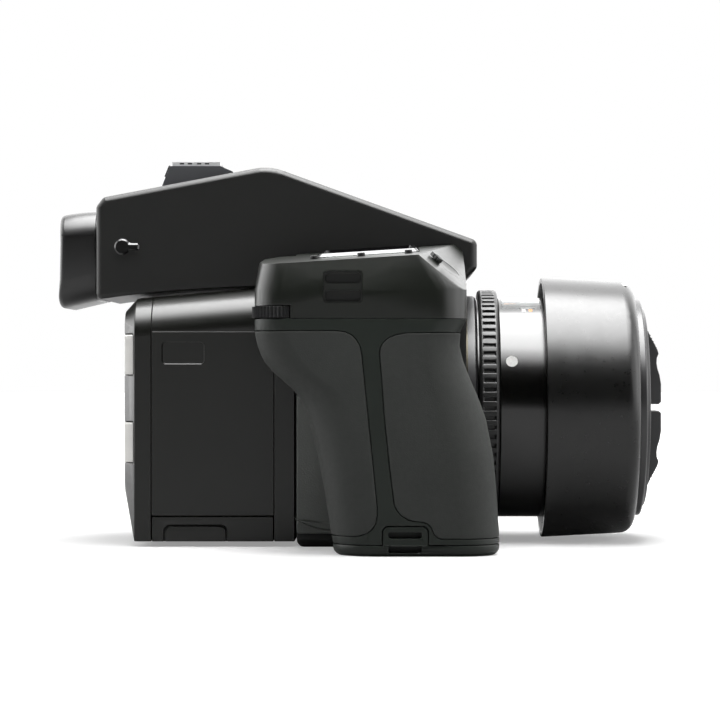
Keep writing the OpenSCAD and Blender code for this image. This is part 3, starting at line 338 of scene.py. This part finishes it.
dial_centre = Vector((-6, 45.4, 101.2)) * MM
dial_marks = []
for k in range(8):
    around = Matrix.Translation(dial_centre) @ Matrix.Rotation(k * math.pi / 4, 4, "Z")
    dial_marks.append((around @ Matrix.Translation((6.6 * MM, 0, 0)), pill(2.2 * MM, 0.5 * MM, 0.2 * MM, 3)))
slabs("mode_dial_marks", dial_marks, 0.03 * MM, white_mark, "mode_dial")
index_place = Matrix.Translation(Vector((6.4, 45.4, 93)) * MM)
slabs("mode_dial_index", [(index_place, ring_of_points(0.7 * MM))], 0.03 * MM, white_mark)

# Flash socket: a turned metal ring with an insulated pin.
# It is pressed into the far cover and stands a little proud of it.
socket_metal = brushed("socket_metal", (0.55, 0.55, 0.53), 0.3)
dress("sync_terminal", socket_metal, edge=0.15 * MM)

# Finder housing: one hollow moulding over the prism, painted matt black, with soft edges all round.
# It is screwed to the body from inside and overhangs the digital back.
finder_paint = grained("finder_paint", (0.0048, 0.0049, 0.0044), 0.42, 0.22 * MM, 0.005 * MM, gloss=0.36)
dress("prism_housing", finder_paint, flat=True)

# Finder glass: roof prism, focusing screen and eyepiece, ground and polished.
# The screen keeps a fine matt side on which the picture forms, and all three are clipped in from inside.


def clear(name, tint, rough=0.0, ior=1.52):
    """Glass with faint smudges."""
    finish, tree, shader, spot = begun(name)
    shader.inputs["Base Color"].default_value = [*tint, 1]
    shader.inputs["Transmission Weight"].default_value = 1
    shader.inputs["IOR"].default_value = ior
    smudge = between(tree, cloud(tree, spot, 6 * MM, 5), 0.45, 0.8, rough, rough + 0.06)
    tree.links.new(smudge, shader.inputs["Roughness"])
    return finish


finder_glass = clear("finder_glass", (0.92, 0.96, 0.95))
dress("pentaprism", finder_glass, edge=0)
dress("eyepiece_lens", finder_glass, edge=0)
dress("focusing_screen", clear("ground_glass", (0.9, 0.92, 0.9), rough=0.35), edge=0)

# Eyecup: soft black rubber moulded in one, pushed over the rim of the eyepiece and held by a groove.
# Its rear edge is rolled, hollowed a little for the brow, and the lower lip flares outward.
eyecup_rubber = grained("eyecup_rubber", (0.0072, 0.0070, 0.0071), 0.33, 0.3 * MM, 0.005 * MM, gloss=0.5)
cup_low, cup_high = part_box("eyecup")
eye_low, eye_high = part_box("eyepiece_lens")
eye_centre = (eye_low + eye_high) / 2
cup_depth = cup_high.x - cup_low.x
lip_round = 1.9 * MM
cup_corner = 9.5 * MM
brow_depth, brow_drop = 1 * MM, 3 * MM
brow_bend_below, brow_bend_above = 5.5, 3.5


def facing(normal, across, spot):
    """Plane through a spot, with its own Z along the normal and its X near the direction across."""
    up = Vector(normal).normalized()
    side = (Vector(across) - Vector(across).dot(up) * up).normalized()
    return Matrix.Translation(spot) @ Matrix((side, up.cross(side), up)).transposed().to_4x4()


def cup_outline(back, inset):
    """Points round the cup at a distance behind the finder, drawn in from the outside by an inset."""
    share = min(back / (0.9 * cup_depth), 1)
    top = cup_high.z - 1.2 * MM * share ** 2 - inset
    low = cup_low.z + 2.9 * MM * (1 - share) + inset
    half = cup_high.y - inset
    middle = (top + low) / 2
    points = []
    for y, z in pill(2 * half, top - low, max(cup_corner - inset, 3 * MM)):
        from_brow = z + middle - eye_centre.z + brow_drop
        bend = brow_bend_below if from_brow < 0 else brow_bend_above
        hollow = brow_depth - bend * from_brow ** 2
        points.append((cup_high.x - back + max(hollow, 0) * back / cup_depth, y, middle + z))
    return points


groove = 1 * MM
cup_rings = [(0, 0), (groove - 0.25 * MM, 0), (groove - 0.1 * MM, 0.45 * MM), (groove + 0.1 * MM, 0.45 * MM),
             (groove + 0.25 * MM, 0), (0.3 * cup_depth, 0), (0.6 * cup_depth, 0)]
for step in range(9):
    around = math.pi * step / 8
    cup_rings.append((cup_depth - lip_round * (1 - math.sin(around)), lip_round * (1 - math.cos(around))))
cup_rings.append((0.55 * cup_depth, 4.6 * MM))
eyecup_mesh = bmesh.new()
cup_rows = [[eyecup_mesh.verts.new(point) for point in cup_outline(*ring)] for ring in cup_rings]
for back in (0.35 * cup_depth, 0):
    cup_rows.append([eyecup_mesh.verts.new((cup_high.x - back, y, eye_centre.z + z))
                     for y, z in pill(eye_high.y - eye_low.y, eye_high.z - eye_low.z, 1 * MM)])
bridged(eyecup_mesh, cup_rows, True)
eyecup = made("eyecup_rubber_moulding", eyecup_mesh, eyecup_rubber)
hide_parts("eyecup")
parting_height = 102.7 * MM
parting_middle = (cup_high.x - 0.5 * cup_depth, cup_low.y + 0.04 * MM, parting_height)
parting = facing((0, -1, 0), (1, 0, 0), parting_middle)
parting_outline = pill(0.8 * cup_depth, 0.28 * MM, 0.12 * MM, 3)
slabs("eyecup_parting_line", [(parting, parting_outline)], 0.06 * MM, eyecup_rubber)

# Eyepiece blind: a keyhole shaped lever with a chamfered rim, milled and painted gloss black.
# It sits on a spindle that turns a thin flap across the eyepiece tunnel.
lever_paint = grained("lever_paint", (0.003, 0.003, 0.003), 0.18, 0.2 * MM, 0.002 * MM, gloss=0.5, edge_wear_and_highlight=0.2)
dress("blind_lever", lever_paint, edge=0.5 * MM, steps=1, flat=True)
dress("blind_flap", grained("flap_black", (0.012, 0.012, 0.012), 0.7, 0.2 * MM, 0.01 * MM), edge=0.1 * MM)

# Accessory shoe: a bent steel channel screwed to a moulded plinth on the rear slope of the finder.
# An insulating plate with contact pads lies on its floor.
plinth_moulding = grained("plinth_moulding", (0.085, 0.087, 0.094), 0.45, 0.25 * MM, 0.008 * MM, gloss=0.5)
dress("shoe_block", plinth_moulding, edge=0.3 * MM)
shoe_steel = grained("shoe_satin", (0.80, 0.80, 0.80), 0.3, 0.2 * MM, 0.004 * MM, gloss=0.8, edge_wear_and_highlight=0.1)
dress("accessory_shoe", shoe_steel, edge=0.15 * MM)
shoe_low, shoe_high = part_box("accessory_shoe")
shoe_middle = (shoe_low + shoe_high) / 2
shoe_floor = Matrix.Translation((shoe_middle.x, 0, shoe_low.z + 1 * MM))
# Black for the contact plate, the shoe stop and the back screws. It is also used as painted shade in slots
# that are not cut.
plate_black_and_slot_shade = grained("contact_plate", (0.02, 0.02, 0.02), 0.45, 0.2 * MM, 0.01 * MM)
slabs("shoe_contact_plate", [(shoe_floor, pill(11 * MM, 11 * MM, 1 * MM))], 0.12 * MM, plate_black_and_slot_shade)
contact_metal = brushed("contact_metal", (0.78, 0.68, 0.42), 0.3)
contact_spots = [(0, 0, 1.3), (-3.6, 3.2, 0.8), (-3.6, -3.2, 0.8), (3.6, 3.2, 0.8), (3.6, -3.2, 0.8)]
contacts = [(shoe_floor @ Matrix.Translation((x * MM, y * MM, 0.1 * MM)), ring_of_points(r * MM, 24))
            for x, y, r in contact_spots]
slabs("shoe_contacts", contacts, 0.1 * MM, contact_metal)


def screws(name, places, radius, finish):
    """Small round headed screws, each with its cross slot drawn as thin dark plates, a painted shade in place
    of a cut slot.
    """
    slabs(name, [(place, ring_of_points(radius, 24)) for place in places], 0.2 * MM, finish, soft=0.06 * MM)
    slot_shade_outline = pill(1.1 * radius, 0.24 * radius, 0.1 * radius, 3)
    slot_shade = [(place @ Matrix.Rotation(turn, 4, "Z") @ Matrix.Translation((0, 0, 0.192 * MM)), slot_shade_outline)
             for place in places for turn in (0.4, 0.4 + math.pi / 2)]
    slabs(name + "_slots", slot_shade, 0.012 * MM, plate_black_and_slot_shade)


shoe_screws = [shoe_floor @ Matrix.Translation((x * MM, y * MM, 0)) for x in (-6.4, 6.4) for y in (-6.6, 6.6)]
screws("shoe_screws", shoe_screws, 0.9 * MM, shoe_steel)
plinth_back = facing((-0.927, 0, 0.375), (0, 1, 0), Vector((-74.0, 0, 124.9)) * MM)
stop_outline = pill(19.5 * MM, 4.2 * MM, 0.5 * MM, 4)
slabs("shoe_stop", [(plinth_back, stop_outline)], 0.7 * MM, plate_black_and_slot_shade, soft=0.15 * MM)
# Painted shade: the spring slots in the side of the shoe are thin dark plates, not cut.
spring_slot_shade_outline = pill(1.5 * MM, 0.5 * MM, 0.2 * MM, 3)
spring_slot_shades = [(facing((0, -1, 0), (1, 0, 0), (x * MM, shoe_low.y, shoe_high.z - 0.55 * MM)), spring_slot_shade_outline)
                for x in (-69.4, -66.7, -63.6, -60.9)]
slabs("shoe_spring_slot_shade", spring_slot_shades, 0.02 * MM, plate_black_and_slot_shade)

# Top control cover: one moulding over the grip, with a flat plate for the display and a sloping deck.
# The strap bar is moulded in its side. Screws hold it from inside the grip.
cover_paint = grained("cover_paint", (0.0050, 0.0062, 0.0044), 0.32, 0.25 * MM, 0.008 * MM, gloss=0.42)
dress("top_cover", cover_paint, edge=0)

# Status display: a grey liquid crystal panel bonded under a coated clear window in a narrow glossy frame.
# It shows nothing while the camera is off.
joints = {joint["name"]: joint for joint in frame["joints"]}
plate_up = -Vector(joints["top_press_middle"]["axis"])
panel_grey = grained("display_grey", (0.20, 0.22, 0.20), 0.6, 0.3 * MM, 0.002 * MM, gloss=0.02, edge_wear_and_highlight=0)
window_low, window_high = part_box("status_window")
window_middle = (window_low + window_high) / 2
panel_place = facing(plate_up, (1, 0, 0), window_middle - 0.45 * MM * plate_up)
slabs("display_panel", [(panel_place, pill(29 * MM, 21 * MM, 0.8 * MM))], 0.1 * MM, panel_grey)
dress("status_window", clear("display_window", (0.95, 0.96, 0.96), ior=1.1), edge=0)
bezel_gloss = grained("bezel_gloss", (0.006, 0.006, 0.0065), 0.12, 0.3 * MM, 0.001 * MM, gloss=0.6, edge_wear_and_highlight=0.1)
bezel_place = facing(plate_up, (1, 0, 0), window_middle + 0.7 * MM * plate_up)
bezel_width, bezel_length, bezel_height = 32.6 * MM, 26 * MM, 1 * MM
bezel_mesh = bmesh.new()
bezel_rows = []
for grow, rise in ((0.05, 0), (-0.95, 1), (-2.2, 1), (-2.6, 0)):
    outline = pill(bezel_width + 2 * grow * MM, bezel_length + 2 * grow * MM, 1.5 * MM)
    bezel_rows.append([bezel_mesh.verts.new(bezel_place @ Vector((x, y, rise * bezel_height)))
                       for x, y in outline])
bridged(bezel_mesh, bezel_rows, True)
made("display_bezel", bezel_mesh, bezel_gloss)

# Push buttons and wheels of the top cover: moulded caps on springs, and a knurled wheel under the thumb.
# The release lies level with its ring in the sloping deck, and the ring has a ribbed finger tab.
button_black = grained("button_black", (0.010, 0.010, 0.010), 0.45, 0.2 * MM, 0.01 * MM, edge_wear_and_highlight=0.4)
for button in ("top_button_rear", "top_button_middle", "top_button_front"):
    dress(button, button_black, edge=0.2 * MM)
dress("shutter_button", cover_paint, edge=0.03 * MM)
dress("drive_lever", cover_paint, edge=0.03 * MM)
dress("rear_dial", dial_black, edge=0.08 * MM)
deck_up = Vector(joints["drive_turn"]["axis"])
deck_place = facing(deck_up, (1, 0, 0), Vector(joints["drive_turn"]["pos_m"]))
tab_turn = Matrix.Rotation(math.radians(-137), 4, "Z")
tab_place = deck_place @ tab_turn @ Matrix.Translation((7 * MM, 0, 0.3 * MM))
tab_rib = pill(2.4 * MM, 0.45 * MM, 0.1 * MM, 2)
tab_ribs = [(tab_place @ Matrix.Translation((0, (k - 1.5) * 0.75 * MM, 0)), tab_rib) for k in range(4)]
slabs("drive_tab_ribs", tab_ribs, 1.4 * MM, cover_paint, "drive_lever", 0.08 * MM)

# Hand grip: a hard moulded core and a T-shaped frame with two inlaid rubber panels.
# The panels are moulded to the curve of the hand and bonded along narrow seams.
grip_moulding = grained("grip_moulding", (0.0056, 0.0084, 0.0060), 0.45, 0.28 * MM, 0.012 * MM, gloss=0.3)
grip_rubber = grained("grip_rubber", (0.0175, 0.0192, 0.0174), 0.68, 0.4 * MM, 0.03 * MM, gloss=0.3,
                      pebbled=True)
dress("grip_core", grained("core_moulding", (0.012, 0.013, 0.012), 0.6, 0.3 * MM, 0.02 * MM), edge=0)
dress("grip_frame", grip_moulding, edge=0.15 * MM)
dress("grip_base", grip_moulding, edge=0.2 * MM)
dress("grip_rubber_rear", grip_rubber, edge=0.2 * MM)
dress("grip_rubber_front", grip_rubber, edge=0.2 * MM)

# Grip battery: a black lithium pack in a welded case, pushed up into the grip.
# Its lid closes the foot of the grip, and a steel lock in it is turned with a coin.
pack_moulding = grained("pack_moulding", (0.024, 0.026, 0.025), 0.55, 0.3 * MM, 0.02 * MM)
dress("grip_battery", pack_moulding, edge=0.25 * MM)
dress("battery_lock", tripod_steel, edge=0.15 * MM)

# Lens mount and release: a turned bayonet ring, blacked, screwed to the casting from the front.
# A narrow bare edge of it shows beside the grip, and a push button beside it frees the lens.
mount_satin = grained("mount_satin", (0.030, 0.030, 0.031), 0.38, 0.2 * MM, 0.01 * MM, gloss=0.5)
dress("lens_mount", mount_satin, edge=0.15 * MM)
dress("lens_release_button", dial_black, edge=0.2 * MM)
mount_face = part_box("lens_mount")[1].x
barrel_low, barrel_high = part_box("lens_barrel")
lens_axis = (barrel_low.z + barrel_high.z) / 2


def spun(name, outline, finish, body, turns, notched=None):
    """Ring turned about the optical axis from points of radius and length ahead of the mount face."""
    mesh = bmesh.new()
    rows = []
    for k in range(turns):
        a = 2 * math.pi * k / turns
        row = []
        for index, (radius, ahead) in enumerate(outline):
            if notched and index in notched[0] and k % notched[1] == 0:
                radius -= notched[2]
            row.append(mesh.verts.new((mount_face + ahead * MM, radius * MM * math.cos(a),
                                       lens_axis + radius * MM * math.sin(a))))
        rows.append(row)
    bridged(mesh, rows, True)
    return made(name, mesh, finish, body)


mount_steel = brushed("mount_steel", (0.035, 0.032, 0.024), 0.28, along=(40, 1, 1))
edge_section = [(37.6, -3.95), (38.12, -3.95), (38.12, -3.2), (37.6, -3.2)]
spun("mount_edge_ring", edge_section, mount_steel, "camera", 120)

# Lens barrel: turned light alloy, black anodised, with a ridged ring by the mount.
# A clear window over the distance scale lies on top, and a white index dot faces the hand.
barrel_black = grained("barrel_black", (0.0020, 0.0020, 0.0016), 0.2, 0.2 * MM, 0.003 * MM, gloss=0.5,
                       edge_wear_and_highlight=0.4)
dress("lens_barrel", barrel_black, edge=0.2 * MM)
ring_black = grained("ring_black", (0.013, 0.013, 0.013), 0.42, 0.2 * MM, 0.003 * MM, gloss=0.4)
dress("ridged_ring", ring_black, edge=0.35 * MM)
dress("distance_window", clear("scale_window", (0.95, 0.97, 0.97), ior=1.25), edge=0)
barrel_radius = (barrel_high.z - barrel_low.z) / 2


def outward(rise):
    """Direction out from the optical axis, at an angle above the level on the grip side."""
    return Vector((0, -math.cos(math.radians(rise)), math.sin(math.radians(rise))))


def curved_plates(name, plates, depth, finish, body="camera"):
    """Thin plates that follow the round of the lens, each with a radius, lengths along it and two angles."""
    mesh = bmesh.new()
    for radius, rear, front, low, high in plates:
        steps = max(2, int((high - low) / 3))
        rows = []
        for k in range(steps + 1):
            out = outward(low + (high - low) * k / steps)
            section = ((rear, radius), (front, radius), (front, radius + depth), (rear, radius + depth))
            rows.append([mesh.verts.new(Vector((mount_face + ahead, 0, lens_axis)) + r * out)
                         for ahead, r in section])
        bridged(mesh, rows, False)
    made(name, mesh, finish, body)


index_out = outward(24.6)
index_spot = Vector((41.3 * MM, 0, lens_axis)) + (barrel_radius - 0.04 * MM) * index_out
index_dot = (facing(index_out, (1, 0, 0), index_spot), ring_of_points(1.95 * MM))
slabs("barrel_index", [index_dot], 0.08 * MM, white_mark)
scale_floor = barrel_radius - 1.398 * MM
scale_black = grained("scale_black", (0.016, 0.016, 0.017), 0.4, 0.2 * MM, 0.005 * MM)
curved_plates("distance_scale", [(scale_floor, 8.8 * MM, 21.5 * MM, 63.5, 116.5)], 0.02 * MM, scale_black)
scale_marks = [(scale_floor + 0.02 * MM, 15 * MM, (18.5 if k % 3 else 20.5) * MM, 66 + 4 * k, 66.6 + 4 * k)
               for k in range(13)]
curved_plates("distance_marks", scale_marks, 0.012 * MM, white_mark)
orange_mark = printed("orange_mark", (0.75, 0.28, 0.05))
infrared_marks = [(scale_floor + 0.02 * MM, 9.5 * MM, 13.5 * MM, a, a + 0.9) for a in (72, 88, 104)]
curved_plates("infrared_marks", infrared_marks, 0.012 * MM, orange_mark)
mark_foot = barrel_radius - 0.03 * MM
curved_plates("depth_marks", [(mark_foot, 15.3 * MM, 16.5 * MM, 59.5, 62.5)], 0.05 * MM, white_mark)
curved_plates("depth_mark_orange", [(mark_foot, 17.6 * MM, 18.8 * MM, 59.5, 62.5)], 0.05 * MM, orange_mark)

# Focusing ring: moulded rubber with fine lengthwise ribs, stretched over a turned sleeve.
# It lies under the reversed hood and turns on the barrel.
focus_rubber = grained("focus_rubber", (0.018, 0.018, 0.018), 0.68, 0.3 * MM, 0.02 * MM)
ring_section = [(36.98, 26.3), (39.1, 26.3), (39.6, 26.8), (39.6, 45.2), (39.1, 45.7), (36.98, 45.7)]
ribbed = spun("focus_ring_rubber", ring_section, focus_rubber, "focus_ring", 360, ((2, 3), 3, 0.6))
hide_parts("focus_ring")

# Glass and inner cells of the lens: coated glass held by threaded rings in a black turned cell.
# The iris plate lies behind the front cell.
lens_glass = clear("lens_glass", (0.93, 0.96, 0.98))
dress("focus_cell", barrel_black, edge=0.15 * MM)
dress("front_lens", lens_glass, edge=0)
dress("rear_lens", lens_glass, edge=0)
dress("iris", grained("iris_black", (0.015, 0.015, 0.016), 0.45, 0.2 * MM, 0.01 * MM), edge=0)

# Lens hood: moulded black plastic, carried reversed over the lens on its bayonet.
# Fine rings inside it stop stray light.
hood_moulding = grained("hood_moulding", (0.0034, 0.0034, 0.0032), 0.29, 0.5 * MM, 0.0006 * MM, gloss=0.42)
dress("lens_hood", hood_moulding, edge=0.2 * MM)
trap_start, trap_pitch, trap_rings = 24.2, 1.25, 16
trap_end = trap_start + trap_pitch * trap_rings
saw = []
for k in range(trap_rings):
    saw += [(42.35, trap_start + trap_pitch * k), (41.85, trap_start + 0.6 + trap_pitch * k)]
saw += [(42.35, trap_end), (42.45, trap_end), (42.55, trap_start)]
spun("hood_light_trap", saw, hood_moulding, "lens_hood", 120)
# Two short white strips lie on the top of the hood.
hood_white_strips = [(42.9 * MM, 46.3 * MM, 47.6 * MM, 74, 80), (42.8 * MM, 49.6 * MM, 51.4 * MM, 74, 80)]
curved_plates("hood_white_strips", hood_white_strips, 0.05 * MM, white_mark, "lens_hood")

# Lens cap: a moulded snap cap, held in the filter thread by two sprung catches.
# Each catch has a finger tab that is ribbed across its slope.
cap_moulding = grained("cap_moulding", (0.026, 0.026, 0.027), 0.33, 0.5 * MM, 0.001 * MM, gloss=0.5)
dress("lens_cap", cap_moulding, edge=0.25 * MM)
for side, tab in ((1, "cap_tab_upper"), (-1, "cap_tab_lower")):
    dress(tab, cap_moulding, edge=0.3 * MM, steps=3)
    slope = Vector((-0.447, 0, 0.894 * side))
    tab_face = Vector((0.894, 0, 0.447 * side))
    first_rib = Vector((91.4 * MM, 0, lens_axis + side * 20.2 * MM))
    rib = pill(15.5 * MM, 0.55 * MM, 0.2 * MM, 3)
    ribs = [(facing(tab_face, (0, 1, 0), first_rib + slope * 1.2 * k * MM), rib) for k in range(5)]
    slabs(tab + "_ribs", ribs, 0.16 * MM, cap_moulding, tab, 0.05 * MM)

# Reflex mirror, shutter and image sensor: the working parts inside the body and the back.
# The mirror is silvered glass on a cross pin, the shutter a blacked frame with a metal curtain.
mirror_silver = brushed("mirror_silver", (0.85, 0.86, 0.87), 0.1)
dress("reflex_mirror", mirror_silver, edge=0.1 * MM)
dress("shutter_frame", casting, edge=0)
dress("shutter_curtain", brushed("curtain_metal", (0.25, 0.25, 0.26), 0.4), edge=0)
dress("image_sensor", grained("sensor_board", (0.015, 0.03, 0.02), 0.4, 0.3 * MM, 0.01 * MM), edge=0)

# Digital back: an alloy sleeve, bead blasted and anodised black, on an adapter plate that seats on the body.
# A flat side panel and a bevelled rear cover are screwed to it from inside.
back_anodised = grained("back_anodised", (0.0058, 0.0061, 0.0050), 0.3, 0.6 * MM, 0.0004 * MM, gloss=0.42,
                        edge_wear_and_highlight=0.04)
for node in ("back_adapter", "back_shell", "side_panel", "rear_cover"):
    dress(node, back_anodised, edge=0.3 * MM, steps=3, flat=True)
dress("back_battery", back_anodised, edge=0.25 * MM)
shell_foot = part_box("back_shell")[0].z
shell_screws = [facing((0, 0, -1), (1, 0, 0), (x * MM, y * MM, shell_foot))
                for x in (-72, -42) for y in (-8, 36)]
screws("back_screws", shell_screws, 1.5 * MM, plate_black_and_slot_shade)

# Rear screen and keys: a black touch glass bonded into the rear cover.
# Four silver keys on springs stand on the bevels beside it.
screen_black = grained("screen_black", (0.006, 0.006, 0.0065), 0.08, 8 * MM, 0.002 * MM, gloss=0.5, edge_wear_and_highlight=0)
dress("rear_screen", screen_black, edge=0.2 * MM)
key_silver = grained("key_silver", (0.90, 0.89, 0.86), 0.35, 0.25 * MM, 0.01 * MM, gloss=0.5, edge_wear_and_highlight=0.1)
screen_low, screen_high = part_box("rear_screen")
screen_middle = (screen_low + screen_high) / 2
picture_place = facing((-1, 0, 0), (0, 1, 0), (screen_low.x, 0, screen_middle.z + 2.5 * MM))
picture_area = grained("picture_area", (0.012, 0.013, 0.016), 0.1, 8 * MM, 0.002 * MM, gloss=0.5, edge_wear_and_highlight=0)
slabs("picture_area", [(picture_place, pill(54 * MM, 40.5 * MM, 0.6 * MM))], 0.012 * MM, picture_area)
for key in ("near_upper", "near_lower", "far_upper", "far_lower"):
    dress("back_button_" + key, key_silver, edge=0.3 * MM, steps=3)

# Studio: a white table under a wide soft light overhead, with weaker soft lights at both ends of the camera.
# The background is white, and shiny surfaces show a dim room with a bright ceiling.
scene = bpy.context.scene
scene.view_settings.view_transform = "Standard"
table_mesh = bmesh.new()
bmesh.ops.create_circle(table_mesh, cap_ends=True, radius=6, segments=96)
table_data = bpy.data.meshes.new("table")
table_mesh.to_mesh(table_data)
table_mesh.free()
table = bpy.data.objects.new("table", table_data)
table.location.z = -0.02 * MM
scene.collection.objects.link(table)
table_white, tree, cloth, table_spot = begun("table_white")
cloth.inputs["Roughness"].default_value = 0.9
cloth.inputs["Specular IOR Level"].default_value = 0.1
cloth.inputs["Base Color"].default_value = (0.82, 0.82, 0.82, 1)
path = tree.nodes.new("ShaderNodeLightPath")
away = tree.nodes.new("ShaderNodeVectorMath")
away.operation = "LENGTH"
tree.links.new(table_spot, away.inputs[0])
# Painted shade: the glow that the camera sees is weaker near the camera body, so the table is painted darker
# round it.
glow_with_painted_shade_near = between(tree, away.outputs["Value"], 0.12, 0.7, 0.3, 0.98, eased=True)
# Painted reflection: farther out, the table glows for reflected rays only, brighter than its lamps light it.
painted_reflection_glow = between(tree, away.outputs["Value"], 0.45, 1.2, 0, 1.3, eased=True)
seen_glow_with_painted_shade = combined(tree, "MULTIPLY", path.outputs["Is Camera Ray"], glow_with_painted_shade_near)
backdrop_glow_and_painted_reflection = combined(tree, "MULTIPLY_ADD", painted_reflection_glow, path.outputs["Is Glossy Ray"], seen_glow_with_painted_shade)
glow = tree.nodes.new("ShaderNodeEmission")
glow.inputs["Color"].default_value = (1, 1, 1, 1)
tree.links.new(backdrop_glow_and_painted_reflection, glow.inputs["Strength"])
both = tree.nodes.new("ShaderNodeAddShader")
tree.links.new(cloth.outputs["BSDF"], both.inputs[0])
tree.links.new(glow.outputs["Emission"], both.inputs[1])
tree.links.new(both.outputs["Shader"], tree.nodes["Material Output"].inputs["Surface"])
table_data.materials.append(table_white)

world = bpy.data.worlds.new("studio")
world.use_nodes = True
scene.world = world
tree = world.node_tree
ambient = tree.nodes["Background"]
ambient.inputs["Color"].default_value = (1, 1, 1, 1)
ambient.inputs["Strength"].default_value = 0.07
backdrop = tree.nodes.new("ShaderNodeBackground")
backdrop.inputs["Color"].default_value = (1, 1, 1, 1)
room = tree.nodes.new("ShaderNodeBackground")
aim = tree.nodes.new("ShaderNodeTexCoord").outputs["Generated"]


def glow_towards(direction, dark_from, bright_from, low, high):
    """Strength of the reflected room, rising smoothly towards one direction."""
    along = tree.nodes.new("ShaderNodeVectorMath")
    along.operation = "DOT_PRODUCT"
    along.inputs[1].default_value = direction
    tree.links.new(aim, along.inputs[0])
    return between(tree, along.outputs["Value"], dark_from, bright_from, low, high, eased=True)


walls = glow_towards((0, 1, 0), -0.45, 0.1, 0.01, 1.5)
ceiling = glow_towards((0, -0.12, 0.993), 0.76, 0.95, 0, 17)
behind = glow_towards((0.2, 0.8, 0.566), 0.72, 0.95, 0, 2)
window = glow_towards((0.82, -0.25, 0.51), 0.78, 0.95, 0, 1.2)
opening = glow_towards((0.96, 0.28, 0), 0.8, 0.96, 0, 0.8)
doorway = glow_towards((-0.86, 0.5, 0.1), 0.7, 0.95, 0, 2.4)
total = walls
for more in (ceiling, behind, window, opening, doorway):
    total = combined(tree, "ADD", total, more)
tree.links.new(total, room.inputs["Strength"])
seen = tree.nodes.new("ShaderNodeLightPath")
in_view = combined(tree, "MAXIMUM", seen.outputs["Is Camera Ray"], seen.outputs["Is Transmission Ray"])
around_camera = tree.nodes.new("ShaderNodeMixShader")
whole_room = tree.nodes.new("ShaderNodeMixShader")
tree.links.new(seen.outputs["Is Glossy Ray"], around_camera.inputs["Fac"])
tree.links.new(ambient.outputs[0], around_camera.inputs[1])
tree.links.new(room.outputs[0], around_camera.inputs[2])
tree.links.new(in_view, whole_room.inputs["Fac"])
tree.links.new(around_camera.outputs[0], whole_room.inputs[1])
tree.links.new(backdrop.outputs[0], whole_room.inputs[2])
tree.links.new(whole_room.outputs[0], tree.nodes["World Output"].inputs["Surface"])


def soft_light(name, place, target, width, height, watts):
    """Flat lamp with a wide soft face, turned towards a target."""
    lamp = bpy.data.lights.new(name, "AREA")
    lamp.shape = "RECTANGLE"
    lamp.size = width
    lamp.size_y = height
    lamp.energy = watts
    holder = bpy.data.objects.new(name, lamp)
    holder.location = place
    holder.rotation_euler = (Vector(target) - Vector(place)).to_track_quat("-Z", "Y").to_euler()
    scene.collection.objects.link(holder)


soft_light("overhead", (0.02, 0, 1.15), (0, 0, 0.05), 1.2, 0.6, 16)
soft_light("left_fill", (-1.25, 0.05, 0.55), (0, -0.04, 0.05), 1.6, 1.1, 9)
soft_light("right_fill", (1.25, -0.4, 0.55), (0, -0.04, 0.05), 1.6, 1.1, 7)

view = bpy.data.cameras.new("view")
view.sensor_width = 36
view.lens = 136.9
view.shift_x = -0.0556
view.shift_y = 0.0139
viewing_distance = 937 * MM
eye_level = 57.7 * MM
viewer = bpy.data.objects.new("view", view)
viewer.location = (4.4 * MM, -viewing_distance, eye_level)
viewer.rotation_euler = (math.pi / 2, 0, 0)
scene.collection.objects.link(viewer)
scene.camera = viewer
